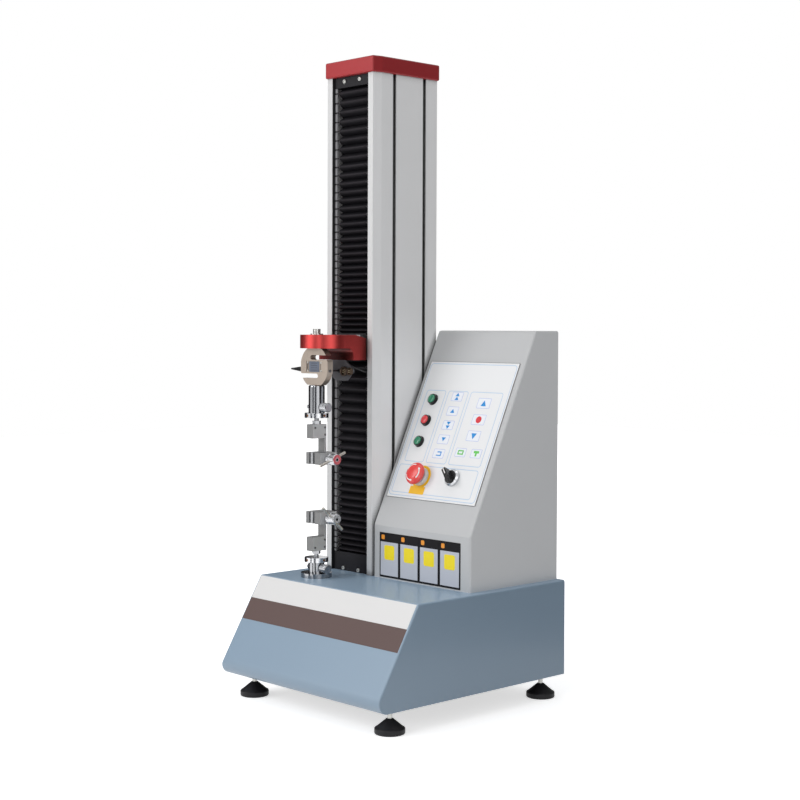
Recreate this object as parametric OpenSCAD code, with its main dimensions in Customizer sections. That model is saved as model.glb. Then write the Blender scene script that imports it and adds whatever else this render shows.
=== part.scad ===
// Bench-top single-column universal testing machine, with its load train and screw vice grips.
// Millimetres. Front is -Y, right is +X, up is +Z. The origin is the middle of the footprint, on the floor.

/* [Base] */
// Width of the base, left to right
base_w = 400; // [392:1:460]
// Depth of the base, from the nose to the rear
base_d = 434; // [426:1:480]
// Height of the base cover
base_h = 163; // [156:1:200]
// Gap from the floor to the underside of the base
base_lift = 40; // [38:1:50]
// Lean of the sloping front, in degrees from upright
front_lean = 30.7; // [20:0.1:33]
// Radius of the rolled nose at the foot of the front
nose_r = 17.5; // [12:0.5:22]
// Sheet thickness of the covers
skin_t = 2; // [1.5:0.1:3]
// Radius of the folded edges of the covers
edge_r = 4; // [3.5:0.5:6]
// Width of the lip folded under the nose
nose_lip = 14; // [8:1:18]
// Thickness of the machine plate under the top of the base
plate_t = 12; // [8:1:14]
// Thickness of the bottom tray
tray_t = 3; // [2:0.5:5]

/* [Feet] */
// Distance of a foot from the side of the base
foot_side = 28.4; // [26:0.2:50]
// Distance of a front foot from the nose
foot_front = 48.7; // [46:0.1:70]
// Distance of a rear foot from the rear of the base
foot_rear = 29.3; // [26:0.1:60]
// Diameter of a foot pad
pad_d = 49; // [40:1:52]
// Height of a foot pad
pad_h = 24; // [20:1:26]
// Diameter of a foot stud
foot_stud_d = 8; // [6:1:10]
// Length of a foot stud above its pad
foot_stud_l = 36; // [32:1:50]
// Across flats of a foot lock nut
foot_nut_af = 13; // [12.5:0.5:17]
// Height of a foot lock nut
foot_nut_h = 7; // [5:0.5:7.5]

/* [Column] */
// Width of the column extrusion
col_w = 128; // [124:1:128.5]
// Depth of the column extrusion
col_d = 152; // [148:1:170]
// Length of the column extrusion
col_h = 877; // [800:1:1000]
// Distance of the column's middle from the left side of the base
col_side = 85.5; // [78:0.5:86]
// Distance of the column's rear from the rear of the base
col_rear = 67; // [50:1:70]
// Width of a front corner bevel, seen from the front
bevel_w = 4; // [2:0.5:6]
// Depth of a front corner bevel, seen from the side
bevel_d = 17; // [10:1:24]
// Width of the front opening between the lips
mouth_w = 95; // [94:1:98]
// Thickness of the front lips
lip_t = 7; // [5:0.5:7]
// Thickness of the side walls
wall_t = 12; // [11.5:0.1:12.2]
// Thickness of the rear wall
back_t = 14; // [12:0.5:15]
// Width of a T-slot's mouth
slot_w = 8; // [6:0.5:9]
// Depth of a T-slot's mouth
slot_neck = 2.5; // [2:0.5:3]
// Width inside a T-slot
slot_room = 16; // [13:0.5:18]
// Whole depth of a T-slot
slot_depth = 8.5; // [7:0.5:9]
// Distance of the first side slot behind the column's face
slot_first = 47.5; // [40:0.5:55]
// Distance of the second side slot behind the column's face
slot_second = 120.5; // [110:0.5:125]
// Distance of a rear slot from the column's middle
slot_back = 30; // [20:1:40]

/* [Cap] */
// Thickness of the column cap
cap_h = 28; // [20:1:35]
// Overhang of the cap past the column
cap_over = 3.5; // [3:0.5:8]
// Radius of the cap's edges
cap_r = 3; // [1:0.5:3]

/* [Guides and drive] */
// Width of a linear rail
rail_w = 15; // [12:1:16]
// Height of a linear rail
rail_h = 15; // [13:1:16]
// Distance of a rail from the column's middle
rail_x = 32; // [30:1:33]
// Distance of the ball screw behind the column's face
screw_depth = 72; // [68:1:76]
// Diameter of the ball screw
screw_d = 20; // [18:1:22]
// Diameter of the ball screw's journals
journal_d = 15; // [12:1:16]
// Height of a screw bearing block
bearing_h = 28; // [22:1:30]
// Diameter of the ball nut's body
nut_d = 36; // [32:1:40]
// Diameter of the ball nut's flange
nut_flange_d = 50; // [46:1:52]
// Distance between the screw and the motor
belt_centres = 105; // [100:1:112]
// Outer radius of the screw pulley
pulley_big_r = 31; // [28:0.5:34]
// Outer radius of the motor pulley
pulley_small_r = 15.5; // [14:0.5:17]
// Width of the timing belt
belt_w = 15; // [10:1:18]
// Thickness of the timing belt
belt_t = 3; // [2:0.5:4]
// Side of the motor's square body
motor_w = 70; // [64:1:76]
// Length of the motor's body
motor_l = 84; // [70:1:92]

/* [Bellows] */
// Width of a pleat across its outer fold
pleat_w = 69; // [60:1:74]
// Width of a pleat behind its clipped corners
pleat_wide = 77; // [75:1:79]
// Depth of a pleat from fold to fold
pleat_depth = 12; // [8:0.5:14]
// Distance of the outer folds behind the column's face
pleat_back = 5.5; // [5:0.5:7]
// Thickness of the bellows cloth, from front to back
cloth_t = 2.4; // [2:0.1:3]
// Pleats in the upper bellows
upper_pleats = 32; // [20:1:34]
// Pleats in the lower bellows
lower_pleats = 23; // [16:1:26]
// Crowding of the upper bellows' pleats towards the bottom
upper_crowding = 0.28; // [0:0.02:0.4]
// Crowding of the lower bellows' pleats towards the bottom
lower_crowding = 0.35; // [0:0.05:0.5]
// Height of the top bellows bracket
top_bracket_h = 18.5; // [14:0.5:24]
// Height of the bottom bellows bracket
low_bracket_h = 33; // [30:1:40]
// Thickness of the bellows end plates on the crosshead
end_plate_t = 3; // [2:0.5:4]
// Thickness of a guide strip behind the lips
strip_t = 1.5; // [1:0.1:2]
// Width of a guide strip
strip_w = 9.6; // [8:0.1:10]

/* [Crosshead] */
// Height of the arm's top face above the floor
arm_top = 624; // [570:1:720]
// Width of the arm
arm_w = 92; // [80:1:100]
// Thickness of the arm
arm_t = 23.5; // [18:0.5:28]
// Whole height of the arm's rear leg
leg_h = 44; // [38:1:48]
// Depth of the arm's rear leg
leg_d = 29.7; // [26:0.1:36]
// Radius of the corner between arm and leg
leg_r = 12; // [4:0.5:14]
// Gap between the arm and the column's face
arm_gap = 1.4; // [1:0.1:4]
// Height of the chamfer at the top rear edge of the arm
arm_chamfer_h = 6.3; // [3:0.1:10]
// Depth of the chamfer at the top rear edge of the arm
arm_chamfer_d = 24.8; // [10:0.1:28]
// Distance of the load axis in front of the column
load_reach = 75.5; // [72:0.1:85]
// Distance from the arm's front tip to the load axis
arm_nose = 23.7; // [20:0.1:30]
// Width of the neck that passes between the lips
neck_w = 60; // [50:1:70]
// Height of the carriage plate
carriage_h = 124; // [112:1:140]
// Thickness of the carriage plate
carriage_t = 12; // [10:1:13]
// Length of a guide block
block_l = 50; // [40:1:54]

/* [Load cell] */
// Width of the load cell
cell_w = 71; // [60:1:72]
// Height of the load cell
cell_h = 63.5; // [60:0.5:68]
// Thickness of the load cell
cell_t = 12; // [11:0.5:16]
// Radius of the load cell's rounded outline
cell_r = 36.5; // [36:0.5:40]
// Height of a slot in the load cell
cell_slot = 8; // [6:0.5:9]
// Distance of a slot from the middle of the load cell
cell_slot_z = 16; // [15.5:0.5:17]
// Reach of a slot past the middle of the load cell
cell_slot_x = 10; // [6:0.5:12]
// Width of the gauge pocket
pocket_w = 42; // [34:1:44]
// Height of the gauge pocket
pocket_h = 20; // [16:1:21]
// Diameter of the load cell's bolts
cell_bolt_d = 8; // [6:1:8]
// Diameter of the load cell's cable
cable_d = 3; // [2:0.1:3.4]
// Length of the strain relief at the side of the load cell
relief_l = 29.4; // [20:0.1:34]
// Radius of the cable's turn behind the strain relief
cable_turn = 8; // [6:0.5:12]
// Diameter of the larger connector under the arm
plug_d = 16.5; // [14:0.5:16.5]
// Diameter of the smaller connector under the arm
small_plug_d = 13.5; // [11:0.5:13.5]

/* [Load train] */
// Diameter of the adaptor sleeves
sleeve_d = 28; // [26:0.5:32]
// Length of the upper adaptor
upper_sleeve_l = 48.7; // [42:0.1:56]
// Length of the lower adaptor, flange included
lower_sleeve_l = 26.5; // [26.5:0.5:36]
// Diameter of the lower adaptor's flange
flange_d = 54; // [46:1:64]
// Thickness of the lower adaptor's flange
flange_t = 8; // [6:0.5:8]
// Diameter of the grip's tenon
tenon_d = 16; // [14:0.5:18]
// Length of the tenon inside an adaptor
tenon_l = 21; // [18:0.5:22]
// Diameter of a lock ring
ring_d = 41.5; // [36:0.5:46]
// Height of a lock ring
ring_h = 8; // [6:0.1:12]
// Diameter of the spanner holes in a lock ring
ring_hole_d = 4; // [3:0.5:5]
// Diameter of a cross pin
pin_d = 8; // [6:0.5:9]
// Distance of a cross pin from the lock ring
pin_up = 10.3; // [9:0.1:10.3]
// Diameter of a cross pin's knob
pin_knob_d = 15.5; // [12:0.5:16]
// Length of a cross pin's knob
pin_knob_l = 18; // [12:1:24]
// Length of a cross pin's tail past the sleeve
pin_tail = 8; // [6:0.5:12]
// Diameter of the grip's threaded stud
stud_d = 8; // [6:0.5:10]
// Bare length of the stud between ring and nut
stud_gap = 5.5; // [3:0.5:8]
// Across flats of the grip's nut
nut_af = 13; // [12.5:0.5:16]
// Height of the grip's nut
nut_h = 5.8; // [4:0.2:8]

/* [Grips] */
// Width of a grip's mounting block
block_w = 17; // [15:0.5:17.5]
// Depth of a grip's mounting block in front of its arm
block_d = 26; // [24:0.5:28]
// Height of a grip's mounting block
block_h = 24.5; // [20:0.5:30]
// Distance of a grip's front from the load axis
grip_front = 15; // [14:0.5:18]
// Bare height of the arm between block and jaw frame
arm_gap_h = 24; // [20:0.5:28]
// Thickness of a grip's arm
grip_arm_t = 4.5; // [3:0.5:6]
// Height of the jaw frame
frame_h = 20.5; // [18:0.5:24]
// Depth of the jaw frame
frame_d = 37.4; // [35:0.2:40]
// Depth of the jaws
jaw_d = 25; // [22:0.5:28]
// Thickness of the fixed jaw
fixed_jaw = 7.8; // [6:0.1:9]
// Opening between the jaws
jaw_gap = 4.8; // [4.8:0.1:6]
// Thickness of the moving jaw
jaw_t = 5.4; // [4.5:0.1:6]
// Room behind the moving jaw
jaw_room = 4.8; // [4.8:0.1:6]
// Thickness of the leg that holds the clamp screw
screw_leg = 15; // [12:0.5:18]
// Diameter of the clamp screw
clamp_d = 12; // [10:0.5:12]
// Bare length of the clamp screw outside the frame
clamp_bare = 7; // [6:0.5:10]
// Diameter of the clamp knob
knob_d = 19.4; // [17:0.1:20]
// Length of the clamp knob
knob_l = 20; // [17:0.5:24]
// Diameter of a tommy bar
bar_d = 5; // [4:0.5:5.5]
// Length of a tommy bar
bar_l = 61; // [50:1:64]
// Distance of the tommy bar behind the knob's end
bar_back = 12; // [8:0.5:13]
// Turn of the upper tommy bar, in degrees from level
upper_bar_turn = 20.2; // [0:0.1:40]
// Turn of the lower tommy bar, in degrees from level
lower_bar_turn = -42.5; // [-60:0.1:0]

/* [Control box] */
// Width of the control box
box_w = 234; // [228:1:248]
// Depth of the control box
box_d = 215.5; // [205:0.5:215.5]
// Height of the control box
box_h = 429; // [415:1:460]
// Gap between the column and the control box
box_gap = 0.5; // [0.3:0.1:2]
// Height of the upright front below the slope
apron_h = 90.7; // [80:0.1:100]
// Depth of the flat top of the box
crown_d = 57.5; // [50:0.5:66]
// Radius of the box's top front bend
bend_r = 8; // [5:0.5:12]
// Distance of the box's rear from the rear of the base
box_rear = 2.7; // [2:0.1:2.9]
// Distance of the control panel overlay from the left side of the box
panel_left = 8.5; // [6:0.5:12]
// Distance of the control panel overlay from the right side of the box
panel_right = 11.5; // [6:0.5:14]
// Length of the control panel overlay up the slope
panel_l = 259; // [254:1:262]
// Thickness of the control panel overlay
panel_t = 1; // [0.6:0.1:2]
// Distance of the panel's lower edge up the slope
panel_up = 53.5; // [50:0.5:58]
// Distance between the vents in the rear panel
vent_pitch = 12; // [10:0.5:16]

/* [Controls] */
// Diameter of a pilot lamp's bezel
lamp_d = 18.4; // [17.4:0.1:20]
// Height of a pilot lamp's bezel
lamp_h = 5.5; // [3:0.5:7]
// Distance of the lamps from the left side of the panel
lamp_x = 37; // [33:0.5:42]
// Distance of the lowest lamp from the lower side of the panel
lamp_up = 105; // [97:0.5:112]
// Distance between lamps
lamp_pitch = 40; // [36:0.5:42]
// Diameter of the stop button's head
stop_d = 39.5; // [36:0.5:44]
// Distance of the stop button from the left side of the panel
stop_x = 70.5; // [62:0.5:82]
// Distance of the stop button from the lower side of the panel
stop_up = 41; // [36:0.5:47]
// Travel of the stop button
stop_travel = 5; // [3:0.5:6]
// Distance of the selector from the left side of the panel
selector_x = 144.5; // [136:0.5:156]
// Distance of the selector from the lower side of the panel
selector_up = 44.5; // [36:0.5:50]
// Diameter of the selector's bezel
selector_d = 30; // [26:0.5:32]
// Rest angle of the selector's handle, in degrees left of upright
selector_rest = 45; // [30:1:60]

/* [Clearances] */
// Radial running clearance of shafts, pins and bars
running = 0.05; // [0.02:0.01:0.1]
// Side clearance of sliding and dropped-in parts
sliding = 0.1; // [0.05:0.05:0.2]
// Gap between the belt and its pulleys
belt_gap = 0.2; // [0.1:0.05:0.3]
// Radial clearance of holes that a part only passes through
passing = 0.5; // [0.3:0.1:1]

/* [Hidden] */
$fn = 48;

// Base
base_top = base_lift + base_h;
nose_y = -base_d / 2;
rear_y = base_d / 2;
bend_y = nose_y + nose_r;
bend_z = base_lift + nose_r;
shaft_hole = journal_d * 2;
slope_r = edge_r * 0.75;
feet = [[-1, -1], [1, -1], [-1, 1], [1, 1]];

// Column
col_x = -base_w / 2 + col_side;
col_y = rear_y - col_rear - col_d;
col_top = base_top + col_h;
hollow_w = col_w - 2 * wall_t;
inner_back = col_y + col_d - back_t;
screw_y = col_y + screw_depth;
screw_z0 = base_top + bearing_h + 4;
screw_z1 = col_top - bearing_h - 2;

// Belt drive
belt_room = 28;
belt_z = base_top - plate_t - skin_t - belt_room;
motor_x = col_x + belt_centres;
motor_gap = 11;
motor_top = belt_z - belt_w / 2 - motor_gap;
pulley_h = belt_w + 7;

// Crosshead and carriage
load_y = col_y - load_reach;
arm_y = col_y - arm_gap;
arm_z = arm_top - arm_t;
leg_y = arm_y - leg_d;
neck_z = arm_top - leg_h;
block_rise = rail_h + 11;
block_w_side = 9.5;
carriage_w = hollow_w - 12;
carriage_z = neck_z - (carriage_h - leg_h) / 2;
plate_y = inner_back - block_rise - carriage_t;
cell_z = arm_z - cell_h / 2;

// Bellows
pleat_y = col_y + pleat_back;
upper_z1 = col_top - top_bracket_h;
upper_z0 = arm_top + end_plate_t;
lower_z1 = neck_z - end_plate_t;
lower_z0 = base_top + low_bracket_h;

// Load train
upper_end = arm_z - cell_h - upper_sleeve_l;
lower_end = base_top + lower_sleeve_l;
block_z = ring_h + stud_gap + nut_h;
frame_z = block_z + block_h + arm_gap_h;
axis_z = frame_z + frame_h / 2;
jaw_x = jaw_gap / 2;
leg_x = jaw_x + jaw_t + jaw_room;
knob_x = leg_x + screw_leg + clamp_bare;

// Control box
box_x = col_x + col_w / 2 + box_gap;
box_mid = box_x + box_w / 2;
box_y1 = rear_y - box_rear;
box_y0 = box_y1 - box_d;
box_top = base_top + box_h;
panel_w = box_w - panel_left - panel_right;
slope_run = box_d - crown_d;
slope_rise = box_h - apron_h;
slope_lean = atan(slope_run / slope_rise);

// How far back the sloping front is at the top, for an outline drawn i inside the cover
function front_top(i) =
    bend_y - (nose_r - i) * cos(front_lean)
    + (base_top - i - bend_z - (nose_r - i) * sin(front_lean)) * tan(front_lean);

// Outline of the base seen from the right, drawn i inside the cover
function base_outline(i) = [
    [bend_y, bend_z],
    [bend_y - (nose_r - i) * cos(front_lean), bend_z + (nose_r - i) * sin(front_lean)],
    [front_top(i), base_top - i],
    [rear_y - i, base_top - i],
    [rear_y - i, base_lift + i],
    [bend_y, base_lift + i]];

// Where the slope of the control box ends at the top, drawn i inside the shell
function slope_top(i) = box_y0 + slope_run + i / cos(slope_lean) - i * tan(slope_lean);

// Outline of the control box seen from the right, drawn i inside the shell, open at rear and floor
function box_outline(i) =
    let (bend = (90 - slope_lean) / 2, t = (bend_r - i) * tan(bend))
    [
        [box_y0 + i, base_top - i],
        [box_y0 + i, base_top + apron_h + i * tan(slope_lean / 2)],
        [slope_top(i) - t * sin(slope_lean), box_top - i - t * cos(slope_lean)],
        [slope_top(i) + t, box_top - i],
        [box_y1 + i, box_top - i],
        [box_y1 + i, base_top - i]];

// Height of fold k out of 2 * n in a bellows that hangs from z1 down to z0
function fold_z(z0, z1, n, a, k) =
    let (t = k / (2 * n))
    z1 - (z1 - z0) * (t + a * t * (1 - t));

// A bar across the machine, drawn from its outline seen from the right
module x_prism(w, pts) {
    rotate([90, 0, 90])
        linear_extrude(w, center = true)
            polygon(pts);
}

// A round bar across the machine, centred
module x_rod(r, l) {
    rotate([0, 90, 0])
        cylinder(r = r, h = l, center = true);
}

// A block with its two front upright edges rounded
module soft_front(w, d, h, r) {
    translate([-w / 2, r, 0])
        cube([w, d - r, h]);
    translate([-w / 2 + r, 0, 0])
        cube([w - 2 * r, d, h]);
    for (s = [-1, 1])
        translate([s * (w / 2 - r), r, 0])
            cylinder(r = r, h = h);
}

// A hexagonal nut, standing on z = 0
module hex_nut(af, h) {
    cylinder(d = af / cos(30), h = h, $fn = 6);
}

module at_screw(z) {
    translate([col_x, screw_y, z])
        children();
}

module at_load(z) {
    translate([col_x, load_y, z])
        children();
}

// Lifts a piece out of the upper adaptor's end, pointing down
module upper_side() {
    at_load(upper_end)
        mirror([0, 0, 1])
            children();
}

// Lifts a piece out of the lower adaptor's end, pointing up
module lower_side() {
    at_load(lower_end)
        children();
}

// Places a piece on the slope of the control box, facing out, from the panel's lower left corner
module on_panel(x, a) {
    translate([box_x + panel_left + x, box_y0, base_top + apron_h])
        rotate([90 - slope_lean, 0, 0])
            translate([0, panel_up + a, 0])
                children();
}

// A cable of radius r swept through a list of points, with a direction that it never runs along
module cable_run(points, r, aside) {
    last = len(points) - 1;
    sides = 10;
    rings = [for (i = [0:last])
        let (way = points[min(i + 1, last)] - points[max(i - 1, 0)],
            x = cross(way, aside) / norm(cross(way, aside)),
            y = cross(way, x) / norm(way))
        for (k = [0:sides - 1])
            points[i] + r * (cos(k * 360 / sides) * x + sin(k * 360 / sides) * y)];
    walls = [for (i = [0:last - 1]) for (k = [0:sides - 1])
        let (a = i * sides + k, b = i * sides + (k + 1) % sides)
        each [[a, a + sides, b + sides], [a, b + sides, b]]];
    start_cap = [for (k = [0:sides - 1]) k];
    end_cap = [for (k = [sides - 1:-1:0]) last * sides + k];
    polyhedron(rings, concat([start_cap, end_cap], walls));
}

// Base

module base_form() {
    intersection() {
        union() {
            x_prism(base_w, base_outline(0));
            translate([0, bend_y, bend_z])
                x_rod(nose_r, base_w);
        }
        // rounds the top edges at the sides
        translate([0, nose_y - 1, base_top])
            rotate([-90, 0, 0])
                soft_front(base_w, base_h + 10, base_d + 2, edge_r);
        // rounds the side edges of the slope
        translate([0, front_top(0), base_top])
            rotate([-front_lean, 0, 0])
                translate([0, 0, -base_d])
                    soft_front(base_w, base_d * 1.5, base_d * 2, slope_r);
    }
}

module base_cover() {
    color("LightSteelBlue")
        difference() {
            base_form();
            x_prism(base_w - 2 * skin_t, base_outline(skin_t));
            translate([0, bend_y, bend_z])
                x_rod(nose_r - skin_t, base_w - 2 * skin_t);
            translate([-base_w / 2 + skin_t, bend_y + nose_lip, base_lift - 1])
                cube([base_w - 2 * skin_t, base_d - nose_r - nose_lip - skin_t, skin_t + 2]);
            at_screw(base_top - skin_t - 1)
                cylinder(d = shaft_hole, h = skin_t + 2);
        }
}

module machine_plate() {
    y0 = front_top(0) + 23;
    color("Gray")
        difference() {
            translate([-base_w / 2 + 10, y0, base_top - skin_t - plate_t])
                cube([base_w - 20, rear_y - 12 - y0, plate_t]);
            at_screw(base_top - skin_t - plate_t - 1)
                cylinder(d = shaft_hole, h = plate_t + 2);
        }
}

module at_foot(f) {
    x = f.x * (base_w / 2 - foot_side);
    y = f.y < 0 ? nose_y + foot_front : rear_y - foot_rear;
    translate([x, y, 0])
        children();
}

module bottom_tray() {
    y0 = bend_y + nose_lip + sliding;
    w = base_w - 2 * skin_t - 2 * sliding;
    color("DimGray")
        difference() {
            translate([-w / 2, y0, base_lift])
                cube([w, rear_y - skin_t - sliding - y0, tray_t]);
            for (f = feet)
                at_foot(f)
                    translate([0, 0, base_lift - 1])
                        cylinder(d = foot_stud_d + 2 * running, h = tray_t + 2);
        }
}

// Feet

module foot_lock_nuts() {
    color("Silver")
        for (f = feet)
            at_foot(f)
                translate([0, 0, base_lift - foot_nut_h])
                    difference() {
                        hex_nut(foot_nut_af, foot_nut_h);
                        translate([0, 0, -1])
                            cylinder(d = foot_stud_d + 2 * running, h = foot_nut_h + 2);
                    }
}

module foot_stud(f) {
    color("Silver")
        at_foot(f)
            translate([0, 0, pad_h / 2])
                cylinder(d = foot_stud_d, h = pad_h / 2 + foot_stud_l);
}

module foot_pad(f) {
    r = pad_d / 2;
    color("Black")
        at_foot(f)
            difference() {
                rotate_extrude()
                    polygon([[0, 0], [r - 2, 0], [r - 0.6, 0.6], [r, 2], [r, pad_h * 0.35], [r - 0.8, pad_h * 0.4],
                        [r - 2.5, pad_h * 0.43], [foot_stud_d * 0.7, pad_h], [0, pad_h]]);
                translate([0, 0, pad_h / 2])
                    cylinder(d = foot_stud_d, h = pad_h);
            }
}

// Column

// A T-slot cut into a wall whose face is at x = 0, running up
module t_slot(h) {
    translate([-slot_neck - 1, -slot_w / 2, 0])
        cube([slot_neck + 2, slot_w, h]);
    translate([-slot_depth, -slot_room / 2, 0])
        cube([slot_depth - slot_neck, slot_room, h]);
}

module column_outline() {
    hw = col_w / 2;
    polygon([[-hw, col_d], [-hw, bevel_d], [-hw + bevel_w, 0], [hw - bevel_w, 0], [hw, bevel_d], [hw, col_d]]);
}

module column_profile() {
    color("Silver")
        translate([col_x, col_y, base_top])
            difference() {
                linear_extrude(col_h)
                    column_outline();
                translate([-mouth_w / 2, -1, -1])
                    cube([mouth_w, lip_t + 2, col_h + 2]);
                translate([-hollow_w / 2, lip_t, -1])
                    cube([hollow_w, col_d - lip_t - back_t, col_h + 2]);
                for (y = [slot_first, slot_second]) {
                    translate([col_w / 2, y, -1])
                        t_slot(col_h + 2);
                    translate([-col_w / 2, y, -1])
                        mirror([1, 0, 0])
                            t_slot(col_h + 2);
                }
                for (s = [-1, 1])
                    translate([s * slot_back, col_d, -1])
                        rotate([0, 0, 90])
                            t_slot(col_h + 2);
            }
}

module column_cap() {
    hw = col_w / 2 + cap_over - cap_r;
    y0 = col_y - cap_over + cap_r;
    y1 = col_y + col_d + cap_over - cap_r;
    corners = [[-hw, y1], [-hw, y0 + bevel_d], [-hw + bevel_w, y0], [hw - bevel_w, y0], [hw, y0 + bevel_d], [hw, y1]];
    color("IndianRed")
        hull()
            for (c = corners)
                for (z = [cap_r, cap_h - cap_r])
                    translate([col_x + c.x, c.y, col_top + z])
                        sphere(cap_r, $fn = 24);
}

// Guides and drive

module linear_rails() {
    color("LightGray")
        for (s = [-1, 1])
            translate([col_x + s * rail_x - rail_w / 2, inner_back - rail_h, screw_z0])
                cube([rail_w, rail_h, screw_z1 - screw_z0]);
}

module screw_bearings() {
    w = hollow_w - 2 * sliding;
    d = journal_d * 2 + 20;
    color("DimGray")
        for (z = [base_top, col_top - bearing_h])
            difference() {
                translate([col_x - w / 2, screw_y - d / 2, z])
                    cube([w, d, bearing_h]);
                at_screw(z - 1)
                    cylinder(d = journal_d + 2 * running, h = bearing_h + 2);
            }
}

module ball_screw() {
    color("LightGray") {
        at_screw(screw_z0)
            cylinder(d = screw_d, h = screw_z1 - screw_z0);
        at_screw(belt_z - pulley_h / 2 - 4)
            cylinder(d = journal_d, h = col_top - 2 - belt_z + pulley_h / 2 + 4);
    }
}

// A flanged belt pulley, centred on z = 0
module pulley(r, bore) {
    difference() {
        union() {
            cylinder(r = r, h = pulley_h, center = true);
            for (s = [-1, 1])
                translate([0, 0, s * (pulley_h / 2 - 1)])
                    cylinder(r = r + belt_t + 1, h = 2, center = true);
        }
        cylinder(d = bore, h = pulley_h + 2, center = true);
    }
}

module screw_pulley() {
    color("Gray")
        at_screw(belt_z)
            pulley(pulley_big_r, journal_d);
}

module motor_pulley() {
    color("Gray")
        translate([motor_x, screw_y, 0]) {
            translate([0, 0, belt_z])
                pulley(pulley_small_r, 11);
            translate([0, 0, motor_top - 29])
                cylinder(d = 12, h = belt_z + pulley_h / 2 + 2 - motor_top + 29);
        }
}

// The loop round both pulleys, at radius e outside them
module belt_loop(e, h) {
    r1 = pulley_big_r + e;
    r2 = pulley_small_r + e;
    lean = asin((r1 - r2) / belt_centres);
    cylinder(r = r1, h = h, center = true);
    translate([belt_centres, 0, 0])
        cylinder(r = r2, h = h, center = true);
    linear_extrude(h, center = true)
        polygon([[r1 * sin(lean), r1 * cos(lean)], [belt_centres + r2 * sin(lean), r2 * cos(lean)],
            [belt_centres + r2 * sin(lean), -r2 * cos(lean)], [r1 * sin(lean), -r1 * cos(lean)]]);
}

module timing_belt() {
    color("Black")
        at_screw(belt_z)
            difference() {
                belt_loop(belt_gap + belt_t, belt_w);
                belt_loop(belt_gap, belt_w + 2);
            }
}

module servo_motor() {
    post = motor_w / 2 - 6;
    color("DimGray")
        translate([motor_x, screw_y, 0]) {
            difference() {
                translate([-motor_w / 2, -motor_w / 2, motor_top - motor_l])
                    cube([motor_w, motor_w, motor_l]);
                for (a = [0:90:270])
                    rotate([0, 0, a])
                        translate([motor_w / 2, motor_w / 2, motor_top - motor_l - 1])
                            rotate([0, 0, 45])
                                translate([-4, -10, 0])
                                    cube([8, 20, motor_l - 8]);
                translate([0, 0, motor_top - 30])
                    cylinder(d = 12 + 2 * running, h = 40);
            }
            for (x = [-post, post])
                for (y = [-post, post])
                    translate([x, y, motor_top])
                        cylinder(d = 8, h = base_top - skin_t - plate_t - motor_top);
        }
}

// Bellows

module pleats(z0, z1, n, a) {
    front = [for (k = [0:2 * n]) [pleat_y + (k % 2 == 0 ? pleat_depth : 0), fold_z(z0, z1, n, a, k)]];
    back = [for (k = [2 * n:-1:0]) [pleat_y + cloth_t + (k % 2 == 0 ? pleat_depth : 0), fold_z(z0, z1, n, a, k)]];
    color("Black")
        translate([col_x, 0, 0])
            intersection() {
                x_prism(pleat_wide, concat(front, back));
                translate([0, 0, z0 - 1])
                    linear_extrude(z1 - z0 + 2)
                        polygon([[-pleat_w / 2, pleat_y - 1], [pleat_w / 2, pleat_y - 1], [pleat_w / 2, pleat_y],
                            [pleat_wide / 2, pleat_y + 4], [pleat_wide / 2, pleat_y + 30],
                            [-pleat_wide / 2, pleat_y + 30], [-pleat_wide / 2, pleat_y + 4],
                            [-pleat_w / 2, pleat_y]]);
            }
}

module bellows_upper() {
    pleats(upper_z0, upper_z1, upper_pleats, upper_crowding);
}

module bellows_lower() {
    pleats(lower_z0, lower_z1, lower_pleats, lower_crowding);
}

module bellows_brackets() {
    w = mouth_w - 2;
    color("DimGray") {
        translate([col_x - w / 2, pleat_y, upper_z1])
            cube([w, pleat_depth + cloth_t, top_bracket_h]);
        translate([col_x - w / 2, pleat_y, base_top])
            cube([w, pleat_depth + cloth_t, low_bracket_h]);
    }
}

module bellows_end_plates() {
    color("DimGray")
        for (z = [arm_top, lower_z1])
            translate([col_x - pleat_wide / 2, pleat_y - 1, z])
                cube([pleat_wide, pleat_depth + 2, end_plate_t]);
}

module guide_strips() {
    color("Gainsboro")
        for (s = [-1, 1])
            translate([col_x + s * (hollow_w / 2 - sliding - strip_w / 2) - strip_w / 2, col_y + lip_t, lower_z0])
                cube([strip_w, strip_t, upper_z1 - lower_z0]);
}

// Crosshead

module crosshead_arm() {
    nose_back = arm_w / 2 - arm_nose;
    color("FireBrick")
        difference() {
            union() {
                at_load(arm_z)
                    translate([0, nose_back, 0])
                        cylinder(r = arm_w / 2, h = arm_t, $fn = 96);
                translate([col_x - arm_w / 2, load_y + nose_back, arm_z])
                    cube([arm_w, arm_y - load_y - nose_back, arm_t]);
                translate([col_x - arm_w / 2, leg_y - leg_r, neck_z])
                    cube([arm_w, leg_d + leg_r, leg_h - 1]);
            }
            // the hollow corner under the arm
            translate([col_x, leg_y - leg_r, arm_z - leg_r])
                x_rod(leg_r, arm_w + 2);
            translate([col_x - arm_w / 2 - 1, leg_y - leg_r - 1, neck_z - 1])
                cube([arm_w + 2, leg_r + 1, leg_h - arm_t - leg_r + 1]);
            // the chamfer over the leg
            translate([col_x, 0, 0])
                x_prism(arm_w + 2, [[arm_y - arm_chamfer_d, arm_top], [arm_y + 1, arm_top + 1],
                    [arm_y + 1, arm_top - arm_chamfer_h * (arm_chamfer_d + 1) / arm_chamfer_d],
                    [arm_y, arm_top - arm_chamfer_h]]);
            at_load(arm_z - 1)
                cylinder(d = cell_bolt_d + 2 * passing, h = arm_t + 2);
        }
}

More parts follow.
